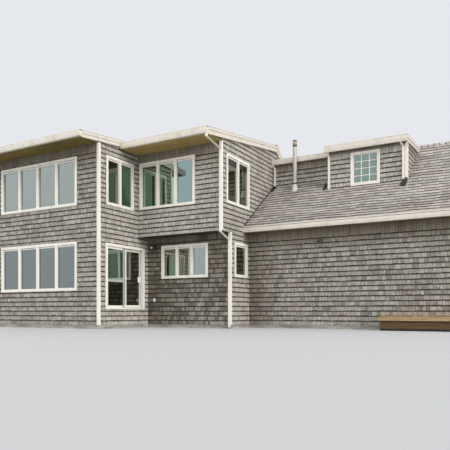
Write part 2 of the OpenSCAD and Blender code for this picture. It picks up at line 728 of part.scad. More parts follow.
// All that lies under the main back roof's line
module under_back_roof() along_x(x_centre - rake_out - 1, x_centre + 1) polygon([
    [y_centre_ridge, 0], [y_centre_ridge, back_top(y_centre_ridge) + seat_gap],
    [y_back_eave, back_top(y_back_eave) + seat_gap], [y_back_eave, 0]]);

module rake_boards() color(trim_colour) {
    left_y0 = y_left_eave + gutter_w;
    centre_y0 = y_centre_eave + gutter_w;
    back_y1 = y_back_eave - gutter_w;
    wing_y0 = y_wing_eave + gutter_w;
    rake(x_left, -1, left_y0, left_top(left_y0), y_left_ridge, left_top(y_left_ridge), low_roof_t);
    rake(x_left, -1, y_left_ridge, back_top(y_left_ridge), back_y1, back_top(back_y1), low_roof_t);
    rake(x_corner, 1, left_y0, left_top(left_y0), y_left_ridge, left_top(y_left_ridge), low_roof_t);
    rake(x_centre, 1, centre_y0, centre_top(centre_y0), y_centre_ridge, centre_top(y_centre_ridge), rake_h);
    difference() {
        rake(x_centre, 1, y_centre_ridge, back_top(y_centre_ridge), y_wing_ridge, back_top(y_wing_ridge),
            rake_h);
        under_wing_roof();
    }
    difference() {
        union() {
            rake(x_centre, -1, y_roofs_cross, wing_top(y_roofs_cross), y_wing_ridge,
                wing_top(y_wing_ridge), wing_roof_t);
            rake(x_centre, -1, y_wing_ridge, wing_top(y_wing_ridge), back_y1, wing_top(back_y1),
                wing_roof_t);
        }
        under_back_roof();
    }
    rake(x_right, 1, wing_y0, wing_top(wing_y0), y_wing_ridge, wing_top(y_wing_ridge), wing_roof_t);
    rake(x_right, 1, y_wing_ridge, wing_top(y_wing_ridge), back_y1, wing_top(back_y1), wing_roof_t);
}

module dormer_rakes() color(trim_colour) {
    y0 = y_large - large_dormer_eave + dormer_gutter_w;
    y_small_eave = y_small - small_dormer_eave;
    rake(x_large, -1, y0, large_top(y0), y_small_eave, large_top(y_small_eave), dormer_rake_h);
    difference() {
        rake(x_large_end, 1, y0, large_top(y0), y_wing_ridge, large_top(y_wing_ridge), dormer_rake_h);
        under_wing_roof();
    }
}

// An L-shaped board round a corner, reaching out towards the signs given
module corner_board(x, y, out_x, out_y, z0, z1, z2) {
    side_x = out_x > 0 ? x : x - corner_t;
    front_y = out_y > 0 ? y : y - corner_t;
    face_x = out_x > 0 ? x - corner_w : x - corner_t;
    face_y = out_y > 0 ? y - corner_w : y - corner_t;
    block([face_x, front_y, z0], [face_x + corner_w + corner_t, front_y + corner_t, z1]);
    block([side_x, face_y, z0], [side_x + corner_t, face_y + corner_w + corner_t, z2]);
}

module corner_boards() color(trim_colour) {
    corner_board(x_left, y_left, -1, -1, foundation_h, left_soffit_z, left_soffit_z);
    corner_board(x_corner, y_left, 1, -1, foundation_h, left_soffit_z, left_soffit_z);
    corner_board(x_centre, y_upper, 1, -1, jetty_z, centre_soffit_z, centre_soffit_z);
    corner_board(x_centre, y_lower, 1, -1, foundation_h, jetty_z, jetty_z);
    corner_board(x_right, y_wing, 1, -1, foundation_h, wing_soffit_z, wing_soffit_z);
    corner_board(x_right, y_back, 1, 1, foundation_h, wing_soffit_z, wing_soffit_z);
    corner_board(x_left, y_back, -1, 1, foundation_h, wing_soffit_z, wing_soffit_z);
    z_dormer_rake = large_top(y_large - corner_t) - dormer_rake_h;
    difference() {
        corner_board(x_large_end, y_large, 1, -1, wing_eave_z, z_dormer_rake, z_dormer_rake);
        under_wing_roof();
    }
}

// A cap over a ridge, its underside on the two slopes
module ridge_cap(x0, x1, y, z, slope_front, slope_back)
    translate([0, 0, seat_gap]) along_x(x0, x1) polygon([
        [y - ridge_cap_w, z - slope_front * ridge_cap_w],
        [y, z], [y + ridge_cap_w, z - slope_back * ridge_cap_w],
        [y + ridge_cap_w, z - slope_back * ridge_cap_w + ridge_cap_t],
        [y, z + ridge_cap_t], [y - ridge_cap_w, z - slope_front * ridge_cap_w + ridge_cap_t]]);

module ridge_caps() color(roof_colour) {
    ridge_cap(x_left - rake_out, x_corner + rake_out, y_left_ridge, left_top(y_left_ridge),
        left_pitch, back_pitch);
    ridge_cap(x_corner + rake_out, x_centre + rake_out, y_centre_ridge, centre_top(y_centre_ridge),
        centre_pitch, back_pitch);
    ridge_cap(x_centre - rake_out, x_right + rake_out, y_wing_ridge, wing_top(y_wing_ridge),
        wing_pitch, wing_pitch);
}

module left_windows() color(trim_colour) {
    window_frames(LEFT_FRONT_WINDOWS);
    window_frames(LEFT_SIDE_WINDOWS);
    window_frames(LEFT_END_WINDOWS);
    window_frames(LEFT_BACK_WINDOWS);
}

module centre_windows() color(trim_colour) {
    window_frames(CENTRE_UPPER_WINDOWS);
    window_frames(CENTRE_LOWER_WINDOWS);
    window_frames(CENTRE_SIDE_WINDOWS);
    window_frames(CENTRE_BACK_WINDOWS);
}

module wing_windows() color(trim_colour) {
    window_frames(DORMER_WINDOWS, dormer_frame_d);
    window_frames(WING_END_WINDOWS);
    window_frames(WING_BACK_WINDOWS);
}

module left_glass() color(glass_colour) {
    window_glass(LEFT_FRONT_WINDOWS);
    window_glass(LEFT_SIDE_WINDOWS);
    window_glass(LEFT_END_WINDOWS);
    window_glass(LEFT_BACK_WINDOWS);
    panel_glass(x_outer_track, y_jamb_near, sill_z, fixed_panel_w, door_head - sill_z, true);
}

module centre_glass() color(glass_colour) {
    window_glass(CENTRE_UPPER_WINDOWS);
    window_glass(CENTRE_LOWER_WINDOWS);
    window_glass(CENTRE_SIDE_WINDOWS);
    window_glass(CENTRE_BACK_WINDOWS);
}

module wing_glass() color(glass_colour) {
    window_glass(DORMER_WINDOWS);
    window_glass(WING_END_WINDOWS);
    window_glass(WING_BACK_WINDOWS);
}

// Trim, jambs, head, sill and the two track ribs of the patio door
module door_frame() color(trim_colour) {
    difference() {
        union() {
            block([x_corner, y_door, door_hole_bottom], [x_corner + trim_t, y_door + door_w, door_top]);
            block([x_corner - wall_t, y_door + trim_lap, door_hole_bottom],
                [x_corner, y_door + door_w - trim_lap, door_hole_top]);
        }
        block([x_corner - wall_t - 1, y_jamb_near, sill_z],
            [x_corner + trim_t + 1, y_jamb_far, door_head]);
    }
    rib_x = x_inner_track + panel_t / 2;
    block([rib_x - rib_w / 2, y_jamb_near, sill_z - 1], [rib_x + rib_w / 2, y_jamb_far, track_z]);
}

// Lowest and highest points of a door panel's bays, with or without a middle rail
function panel_bay_heights(z, h, railed) = railed
    ? [[z + stile_w, ground_floor_z + mid_rail_z - stile_w / 2],
        [ground_floor_z + mid_rail_z + stile_w / 2, z + h - stile_w]]
    : [[z + stile_w, z + h - stile_w]];

module panel_frame(x, y, z, w, h, railed) difference() {
    block([x, y, z], [x + panel_t, y + w, z + h]);
    for (bay = panel_bay_heights(z, h, railed))
        block([x - 1, y + stile_w, bay[0]], [x + panel_t + 1, y + w - stile_w, bay[1]]);
}

module panel_glass(x, y, z, w, h, railed)
    for (bay = panel_bay_heights(z, h, railed))
        block([x + (panel_t - glass_t) / 2, y + stile_w, bay[0]],
            [x + (panel_t + glass_t) / 2, y + w - stile_w, bay[1]]);

module fixed_panel() color(trim_colour)
    panel_frame(x_outer_track, y_jamb_near, sill_z, fixed_panel_w, door_head - sill_z, true);

// The sliding panel stands on two rollers that run on the inner track's rib
module sliding_panel() color(trim_colour) {
    panel_frame(x_inner_track, y_slider, slider_z, slider_w, slider_h, false);
    for (y = [y_slider + stile_w, y_slider + slider_w - stile_w])
        translate([x_inner_track + (panel_t - rib_w) / 2, y, track_z + roller_gap + roller_r])
            rotate([0, 90, 0]) cylinder(h = rib_w, r = roller_r);
}

module sliding_glass() color(glass_colour)
    panel_glass(x_inner_track, y_slider, slider_z, slider_w, slider_h, false);

// A bow handle at the inner edge of the far stile: two posts and a grip
module door_handle() color([0.85, 0.85, 0.82]) {
    handle_out = 34;
    post_d = 14;
    post_in = 15;
    grip_d = 20;
    x0 = x_inner_track + panel_t;
    y0 = y_slider + slider_w - stile_w + post_d;
    z0 = ground_floor_z + handle_z;
    for (side = [-1, 1])
        translate([x0, y0, z0 + side * (handle_l / 2 - post_in)]) rotate([0, 90, 0])
            cylinder(h = handle_out, d = post_d);
    translate([x0 + handle_out, y0, z0 - handle_l / 2]) cylinder(h = handle_l, d = grip_d);
}

// Straight legs of a downspout from point to point, each a hull of two thin level plates
leg_end_t = 2;
module legs(points) for (i = [1 : len(points) - 1]) hull() {
    translate(points[i - 1]) cube([spout_w, spout_d, leg_end_t], center = true);
    translate(points[i]) cube([spout_w, spout_d, leg_end_t], center = true);
}

// Distance of a downspout's middle in front of a wall, its back just clear of the corner boards
spout_out = corner_t + spout_d / 2 + leg_end_t / 2;

// From the gutter back to the upper corner, down, back under the jetty and down to the ground
module centre_downspout() color(trim_colour) {
    outlet_drop = 100;
    upper_leg_drop = 260;
    jetty_drop = 60;
    lower_leg_drop = 260;
    foot_z = 40;
    outlet_in = 5;
    x_outlet = x_centre + rake_out - spout_w / 2 - outlet_in;
    x_pipe = x_centre + corner_t - spout_w / 2;
    y_outlet = y_centre_eave + gutter_w / 2;
    y_high = y_upper - spout_out;
    y_low = y_lower - spout_out;
    z_outlet = centre_eave_z - gutter_drop - centre_gutter_h - leg_end_t / 2;
    legs([[x_outlet, y_outlet, z_outlet], [x_outlet, y_outlet, z_outlet - outlet_drop],
        [x_pipe, y_high, z_outlet - upper_leg_drop], [x_pipe, y_high, jetty_z - jetty_drop],
        [x_pipe, y_low, jetty_z - lower_leg_drop], [x_pipe, y_low, foot_z]]);
}

// From a dormer's gutter back to its wall, down to the wing's roof and, where a shoe is called for,
// on down its slope. The pipe's back corner rests on the roof.
module dormer_downspout(x_outlet, x_pipe, wall_y, eave, z_gutter, shoe_l, shoe_side) {
    outlet_drop = 130;
    y_pipe = wall_y - spout_out;
    z_outlet = z_gutter - leg_end_t / 2;
    rest = spout_d / 2 * wing_pitch + leg_end_t / 2;
    foot = [[x_pipe, y_pipe, wing_seat(y_pipe) + rest]];
    shoe = shoe_l > 0 ? [[x_pipe + shoe_side, y_pipe - shoe_l, wing_seat(y_pipe - shoe_l) + rest]] : [];
    legs(concat([[x_outlet, wall_y - eave + dormer_gutter_w / 2, z_outlet],
        [x_pipe, y_pipe, z_outlet - outlet_drop]], foot, shoe));
}

module dormer_downspouts() color(trim_colour) {
    small_in = 71;
    outlet_in = 1;
    left_in = 40;
    right_in = 10;
    right_outlet_in = 65;
    shoe_l = 240;
    shoe_side = -30;
    z_small = small_dormer_z - gutter_drop - small_gutter_h;
    z_large = large_dormer_z - gutter_drop - large_gutter_h;
    x_small_pipe = x_centre + spout_w / 2 + small_in;
    x_left_pipe = x_large + spout_w / 2 + left_in;
    x_right_pipe = x_large_end - corner_w - spout_w / 2 - right_in;
    dormer_downspout(x_centre + spout_w / 2 + outlet_in, x_small_pipe, y_small, small_dormer_eave,
        z_small, shoe_l, shoe_side);
    dormer_downspout(x_left_pipe, x_left_pipe, y_large, large_dormer_eave, z_large, 0, 0);
    dormer_downspout(x_right_pipe - right_outlet_in, x_right_pipe, y_large, large_dormer_eave,
        z_large, shoe_l, shoe_side);
}

// Sheet metal vent with a cap band and a conical boot that sits on the roof's slope
module vent_pipe() color([0.78, 0.77, 0.73]) {
    boot_h = vent_d * 2.4;
    boot_d = vent_d * 2.2;
    cap_drop = 180;
    cap_h = 90;
    cap_out = 8;
    reach = vent_d * 3;
    x = x_centre + vent_in;
    y = y_small - vent_out;
    z = wing_top(y);
    difference() {
        union() {
            translate([x, y, z - vent_d]) cylinder(h = vent_top - z + vent_d, d = vent_d);
            translate([x, y, z - vent_d]) cylinder(h = boot_h, d1 = boot_d, d2 = vent_d);
            translate([x, y, vent_top - cap_drop]) cylinder(h = cap_h, d = vent_d + 2 * cap_out);
        }
        along_x(x - reach, x + reach) polygon([
            [y - reach, wing_top(y - reach)], [y + reach, wing_top(y + reach)],
            [y + reach, z - reach], [y - reach, z - reach]]);
    }
}

// Round plate, neck, crossbar and two heads that look outwards and down
module wall_light() color([0.08, 0.08, 0.08]) {
    plate_d = 100;
    plate_t = 25;
    arm_d = 30;
    bar_out = 50;
    head_x = 65;
    head_l = 100;
    head_d = [70, 110];
    head_tilt = 30;
    translate([x_corner + light_in, y_lower, light_z]) {
        rotate([90, 0, 0]) cylinder(h = plate_t, d = plate_d);
        rotate([90, 0, 0]) cylinder(h = bar_out, d = arm_d);
        translate([-head_x, -bar_out, 0]) rotate([0, 90, 0]) cylinder(h = 2 * head_x, d = arm_d);
        for (side = [-1, 1])
            translate([side * head_x, -bar_out, 0]) rotate([90 + head_tilt, 0, 0])
                cylinder(h = head_l, d1 = head_d[0], d2 = head_d[1]);
    }
}

module outlet_cover() color([0.93, 0.92, 0.9]) {
    cover_w = 76;
    cover_h = 116;
    cover_t = 28;
    block([x_corner + outlet_in - cover_w / 2, y_lower - cover_t, outlet_z - cover_h / 2],
        [x_corner + outlet_in + cover_w / 2, y_lower, outlet_z + cover_h / 2]);
}

// Hooded wall vent with a sloping top and three louvres
module wall_vent() color([0.2, 0.19, 0.18]) {
    foot_out = 30;
    hood_out = 42;
    hood_z = wall_vent_w * 0.3;
    border = 18;
    louvre_z = -wall_vent_w * 0.38;
    louvre_step = wall_vent_w * 0.22;
    louvre_h = wall_vent_w * 0.1;
    louvre_back = 20;
    translate([x_centre + wall_vent_in, y_wing, wall_vent_z]) difference() {
        along_x(-wall_vent_w / 2, wall_vent_w / 2) polygon([
            [0, -wall_vent_w / 2], [-foot_out, -wall_vent_w / 2],
            [-hood_out, hood_z], [0, wall_vent_w / 2]]);
        for (i = [0 : 2])
            block([border - wall_vent_w / 2, -hood_out - 1, louvre_z + i * louvre_step],
                [wall_vent_w / 2 - border, -louvre_back, louvre_z + i * louvre_step + louvre_h]);
    }
}

module deck_boards() color([0.65, 0.55, 0.33])
    block([x_deck, y_wing - deck_d, deck_z - plank_t], [x_deck_end, y_wing, deck_z]);

// Rim round the open sides, skirt behind it down to the ground, and cross joists
module deck_frame() color([0.6, 0.5, 0.32]) {
    joists = 5;
    y0 = y_wing - deck_d;
    top = deck_z - plank_t;
    difference() {
        block([x_deck, y0, deck_z - rim_h], [x_deck_end, y_wing, top]);
        block([x_deck + rim_t, y0 + rim_t, deck_z - rim_h - 1], [x_deck_end - rim_t, y_wing + 1, top + 1]);
    }
    for (i = [1 : joists])
        translate([x_deck + i * deck_w / (joists + 1), y0 + rim_t, deck_z - rim_h])
            cube([rim_t, deck_d - rim_t, rim_h - plank_t]);
    block([x_deck + rim_t, y0 + skirt_in, 0],
        [x_deck_end - rim_t, y0 + skirt_in + rim_t, deck_z - rim_h + 1]);
}

foundation();
ground_floor();
upper_floor();
left_front_wall();
left_end_wall();
door_near_pier();
door_far_pier();
door_sill_wall();
left_side_wall();
centre_lower_wall();
centre_upper_wall();
centre_side_wall();
wing_front_wall();
wing_end_wall();
back_wall();
wing_left_gable();
left_roof();
centre_roof();
main_back_roof();
wing_front_roof();
wing_back_roof();
small_dormer_wall();
large_dormer_walls();
small_dormer_roof();
large_dormer_roof();
soffits();
house_gutters();
dormer_gutters();
rake_boards();
dormer_rakes();
corner_boards();
ridge_caps();
left_windows();
centre_windows();
wing_windows();
left_glass();
centre_glass();
wing_glass();
door_frame();
fixed_panel();
sliding_panel();
sliding_glass();
door_handle();
centre_downspout();
dormer_downspouts();
vent_pipe();
wall_light();
outlet_cover();
wall_vent();
deck_boards();
deck_frame();
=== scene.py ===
import math

import bpy
import numpy as np
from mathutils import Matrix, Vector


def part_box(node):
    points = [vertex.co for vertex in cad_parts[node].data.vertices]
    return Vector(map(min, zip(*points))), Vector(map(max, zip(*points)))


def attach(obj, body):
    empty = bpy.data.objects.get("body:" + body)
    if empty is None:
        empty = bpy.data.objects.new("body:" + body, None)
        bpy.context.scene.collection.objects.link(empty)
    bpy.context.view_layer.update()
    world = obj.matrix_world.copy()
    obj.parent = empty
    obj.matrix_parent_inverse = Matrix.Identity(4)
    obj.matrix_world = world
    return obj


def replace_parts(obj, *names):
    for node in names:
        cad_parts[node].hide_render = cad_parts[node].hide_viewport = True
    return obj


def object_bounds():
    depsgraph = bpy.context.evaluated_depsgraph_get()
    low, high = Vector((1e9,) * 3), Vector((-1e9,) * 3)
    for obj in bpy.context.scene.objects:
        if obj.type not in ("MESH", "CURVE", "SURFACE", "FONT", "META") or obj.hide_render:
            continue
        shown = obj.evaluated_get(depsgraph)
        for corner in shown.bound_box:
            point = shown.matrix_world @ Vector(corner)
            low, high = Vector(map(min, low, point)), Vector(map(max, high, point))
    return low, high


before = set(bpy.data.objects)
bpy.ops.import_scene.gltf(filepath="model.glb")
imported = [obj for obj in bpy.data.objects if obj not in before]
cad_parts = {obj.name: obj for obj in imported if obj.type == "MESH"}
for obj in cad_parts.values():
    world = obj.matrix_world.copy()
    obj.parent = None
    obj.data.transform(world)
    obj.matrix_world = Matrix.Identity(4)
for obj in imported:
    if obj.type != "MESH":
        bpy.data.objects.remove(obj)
cad_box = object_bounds()

# View: the eye stands low in front of the house, off to the right, and looks level at the near corner.
# The lens is shifted up, as on a view camera, so that the upright edges of the house stay upright.
EYE = (9.211, -18.3875, 0.56)
TURN_LEFT = math.radians(29.883)
lens = bpy.data.cameras.new("eye")
lens.sensor_width = 36.0
lens.lens = 43.4
lens.shift_y = 0.1921
eye = bpy.data.objects.new("eye", lens)
eye.location = EYE
eye.rotation_euler = (math.radians(90), 0, TURN_LEFT)
bpy.context.scene.collection.objects.link(eye)
bpy.context.scene.camera = eye


# Foundation and floors: a cast concrete stem wall that carries the framed walls, and two floors of
# boards nailed on joists inside them. The stem wall shows as a grey band under the shingles, and a dark
# band is painted along the upper floor's underside as painted shade, where its storey stands out over
# the lower one.
class Wire:
    """A value, colour or vector inside a material. + - and * on it, with a number or another wire on
    either side, add Math nodes. node() adds a node of any other kind."""

    def __init__(self, tree, socket=None):
        self.tree = tree
        self.socket = socket

    def node(self, kind, settings=None, inputs=None, out=0):
        """Adds a node: its settings first, then the value or the link of each input. Gives one output."""
        made = self.tree.nodes.new("ShaderNode" + kind)
        for name, value in (settings or {}).items():
            setattr(made, name, value)
        for name, value in (inputs or {}).items():
            if isinstance(value, Wire):
                self.tree.links.new(value.socket, made.inputs[name])
            else:
                made.inputs[name].default_value = value
        return Wire(self.tree, made.outputs[out] if made.outputs else None)

    def maths(self, operation, first, second):
        return self.node("Math", {"operation": operation}, {0: first, 1: second})

    def __add__(self, other):
        return self.maths("ADD", self, other)

    __radd__ = __add__

    def __sub__(self, other):
        return self.maths("SUBTRACT", self, other)

    def __rsub__(self, other):
        return self.maths("SUBTRACT", other, self)

    def __mul__(self, other):
        return self.maths("MULTIPLY", self, other)

    __rmul__ = __mul__

    def fraction(self):
        """What is left of the value after its whole number is taken away."""
        return self.maths("FRACT", self, 0.0)

    def rise(self, low, high):
        """0 below low, 1 above high, and a smooth step between; high below low turns it round."""
        return self.node("MapRange", {"interpolation_type": "SMOOTHSTEP"},
                         {"Value": self, "From Min": low, "From Max": high})

    def past(self, edge, blur):
        """A smooth step from 0 at edge to 1 at blur past it; blur below 0 turns it round."""
        return self.rise(edge, edge + blur)

    def band(self, low, high, blur, blur_high=None):
        """1 from low to high and 0 outside, as the product of two smooth steps just inside the ends:
        blur wide at low, and blur_high wide at high, or blur there too."""
        return self.past(low, blur) * self.past(high, -(blur_high or blur))

    def mix(self, colour_0, colour_1):
        """colour_0 where the value is 0 and colour_1 where it is 1."""
        return self.node("Mix", {"data_type": "RGBA"}, {0: self, 6: colour_0, 7: colour_1}, out=2)

    def clouds(self, lumps, detail=2):
        """Fractal noise from 0 to 1 over a vector, with so many lumps to the metre along each axis."""
        scaled = self.node("VectorMath", {"operation": "MULTIPLY"}, {0: self, 1: lumps})
        return self.node("TexNoise", None, {"Vector": scaled, "Scale": 1.0, "Detail": detail})

    def part(self, axis):
        """One coordinate of a vector, by its letter."""
        return self.node("SeparateXYZ", None, {0: self}, out="XYZ".index(axis))


def rgb(red, green, blue):
    """A colour as the eye reads it, 0 to 255, as linear light: ((c / 255 + 0.055) / 1.055) to the power
    2.4."""
    return (*(((c / 255 + 0.055) / 1.055) ** 2.4 for c in (red, green, blue)), 1.0)


def new_material(name):
    """An empty node material, and a wire with the point's place in metres, which starts its nodes."""
    material = bpy.data.materials.new(name)
    material.use_nodes = True
    material.node_tree.nodes.clear()
    return material, Wire(material.node_tree).node("TexCoord", out=3)


def shade(place, inputs, height=None, depth=0.0):
    """Ends a material with a Principled shader, and with a bump whose height is depth metres at 1."""
    if height is not None:
        inputs = {**inputs, "Normal": place.node("Bump", None, {"Height": height, "Distance": depth})}
    place.node("OutputMaterial", None, {"Surface": place.node("BsdfPrincipled", None, inputs)})


def dress(material, *nodes):
    """Gives CAD nodes this material in place of the plain one that they come with."""
    for node in nodes:
        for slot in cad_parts[node].material_slots:
            slot.material = material


concrete, place = new_material("cast_concrete")
pores = place.clouds((90, 90, 90), 3) + place.clouds((6, 6, 14), 2)
damp = place.clouds((1.3, 1.3, 5), 3).rise(0.35, 0.7)
cement = damp.mix(rgb(158, 153, 143), rgb(118, 114, 106))
shade(place, {"Base Color": cement, "Roughness": 0.9}, pores, 0.004)
dress(concrete, "foundation")

BOARDS_TO_METRE = 7.0
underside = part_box("upper_floor")[0].z
boards, place = new_material("floor_boards")
joint = (place.part("Y") * BOARDS_TO_METRE).fraction().rise(0.03, 0.0)
grain = place.clouds((1.5, 40, 1), 3)
plank = (grain * 0.8 + 0.1).mix(rgb(122, 92, 60), rgb(164, 130, 90))
# Painted shade: a dark band along the upper floor's underside, under the jetty.
below = place.part("Z").band(underside - 0.01, underside + 0.02, 0.009, 0.015)
shade(place, {"Base Color": below.mix(plank, rgb(52, 43, 31)), "Roughness": 0.55}, 1 - joint, 0.002)
dress(boards, "ground_floor", "upper_floor")


# Framed walls: board sheathing nailed on studs, dark with age where it shows in the joints of the
# shingles. Their outlines are read from the frame, and all that is fixed to them starts from these.
def triangles(node):
    """The triangles of a CAD node, as an array of three corners each."""
    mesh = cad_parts[node].data
    points = np.empty(len(mesh.vertices) * 3, np.float32)
    mesh.vertices.foreach_get("co", points)
    corners = np.empty(len(mesh.loops), np.int32)
    mesh.loops.foreach_get("vertex_index", corners)
    return points.reshape(-1, 3)[corners].reshape(-1, 3, 3).astype(float)


def solids_of(node):
    """The lowest and highest corners of each separate solid of a CAD node. Points in one place are one,
    and the smallest label of each triangle spreads to its corners until no label changes."""
    places, point = np.unique(np.round(triangles(node).reshape(-1, 3), 5), axis=0, return_inverse=True)
    corners = point.reshape(-1, 3)
    label = np.arange(len(places))
    settled = False
    while not settled:
        spread = label.copy()
        np.minimum.at(spread, corners.ravel(), np.repeat(label[corners].min(1), 3))
        settled = (spread == label).all()
        label = spread
    return [(places[label == one].min(0), places[label == one].max(0)) for one in np.unique(label)]


def roof_line(node):
    """The height of a roof's top as a function of y: the plane of its largest triangle that faces up."""
    corners = triangles(node)
    normals = np.cross(corners[:, 1] - corners[:, 0], corners[:, 2] - corners[:, 0])
    top = normals[:, 2].argmax()
    slope = -normals[top, 1] / normals[top, 2]
    return lambda y: corners[top, 0, 2] + slope * (y - corners[top, 0, 1])


def meeting(line, other, y, apart=0.0):
    """Where one roof line comes to lie apart below another: from y back by their distance there plus
    apart, over the difference of their slopes."""
    slopes = line(1.0) - line(0.0) - other(1.0) + other(0.0)
    return y - (line(y) - other(y) + apart) / slopes


def plain_finish(name, lumps, roughness, depth, *colours, detail=2, metallic=0.0):
    """A finish in one colour, or in two that change over in fractal lumps, so many to the metre along
    each axis. The same lumps are raised by depth metres."""
    material, place = new_material(name)
    lump = place.clouds(lumps, detail)
    colour = lump.mix(*colours) if len(colours) > 1 else colours[0]
    shade(place, {"Base Color": colour, "Roughness": roughness, "Metallic": metallic}, lump, depth)
    return material


sheathing = plain_finish("wall_sheathing", (2, 2, 30), 0.85, 0.001, rgb(52, 45, 38), rgb(86, 76, 64),
                         detail=3)
WALL_ENDINGS = ("_wall", "_walls", "_pier", "_gable")
dress(sheathing, *(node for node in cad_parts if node.endswith(WALL_ENDINGS)))

x_left, y_left, foundation_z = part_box("left_front_wall")[0]
x_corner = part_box("left_front_wall")[1].x
y_upper, jetty_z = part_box("centre_upper_wall")[0].yz
y_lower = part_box("centre_lower_wall")[0].y
x_centre, y_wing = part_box("wing_front_wall")[0].xy
x_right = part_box("wing_front_wall")[1].x
y_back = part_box("back_wall")[1].y
x_large, y_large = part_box("large_dormer_walls")[0].xy
x_large_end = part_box("large_dormer_walls")[1].x
y_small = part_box("small_dormer_wall")[0].y

SOFFIT_T = 0.012
FRONT_ROOFS = ("left_roof", "centre_roof", "wing_front_roof")
left_soffit_z, centre_soffit_z, wing_soffit_z = (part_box(roof)[0].z - SOFFIT_T for roof in FRONT_ROOFS)
y_left_ridge, y_centre_ridge, y_wing_ridge = (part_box(roof)[1].y for roof in FRONT_ROOFS)
left_top, centre_top, wing_top = (roof_line(roof) for roof in FRONT_ROOFS)
back_top, wing_back_top = roof_line("main_back_roof"), roof_line("wing_back_roof")
small_top, large_top = roof_line("small_dormer_roof"), roof_line("large_dormer_roof")

# Wall shingles: split red cedar, weathered silver grey, nailed in level courses over the sheathing.
# Each is thick at its foot and thin under the next course, so every course throws a line of shade.
WALL_BOARDS = {"course": 0.1588, "widths": (0.06, 0.19), "butt": 0.019}
OVERHANG = 0.012
UP = np.array([0.0, 0.0, 1.0])
JOINT_GAP = (0.0004, 0.0014)
JUST_INSIDE = 0.999
SMALLEST = 0.008
THINNEST = 0.002
HEAD_LAP = 0.12
LONG_WAVE = 1.9
SHORT_WAVE = 5.1
SHORT_SHARE = 0.6
FULL_TURN = 6.28
WAVE_DRIFT = 0.8
TWIST = 0.4
GRAIN_SHIFT = 40
NEVER_COVERED = 99.0
CORNER_SHADE_START = 0.2
BOARD_FACES = np.array([[0, 1, 2, 3], [4, 5, 1, 0], [3, 2, 6, 7], [4, 0, 3, 7], [1, 5, 6, 2], [5, 4, 7, 6]])
BOARD_SIDES = [0, 1, 1, 0] * 2


def new_piece(name, points, faces, material, notes=None):
    """A mesh from rows of points and of four-cornered faces. notes holds values kept at each point."""
    mesh = bpy.data.meshes.new(name)
    mesh.vertices.add(len(points))
    mesh.vertices.foreach_set("co", np.ravel(points).astype(np.float32))
    mesh.loops.add(faces.size)
    mesh.loops.foreach_set("vertex_index", np.ravel(faces).astype(np.int32))
    mesh.polygons.add(len(faces))
    mesh.polygons.foreach_set("loop_start", np.arange(0, faces.size, 4, dtype=np.int32))
    mesh.update(calc_edges=True)
    mesh.shade_flat()
    for note, values in (notes or {}).items():
        kind, field = ("FLOAT", "value") if values.ndim == 1 else ("FLOAT_VECTOR", "vector")
        mesh.attributes.new(note, kind, "POINT").data.foreach_set(field, np.ravel(values).astype(np.float32))
    mesh.materials.append(material)
    piece = bpy.data.objects.new(name, mesh)
    bpy.context.scene.collection.objects.link(piece)
    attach(piece, "house")
    return piece


def board_piece(name, points, material, notes=None):
    """One piece of six-sided solids. Each has eight points: four round its face, from the lower left and
    against the clock, and the four behind them."""
    points = np.reshape(points, (-1, 3))
    faces = (np.arange(0, len(points), 8)[:, None, None] + BOARD_FACES).reshape(-1, 4)
    return new_piece(name, points, faces, material, notes)


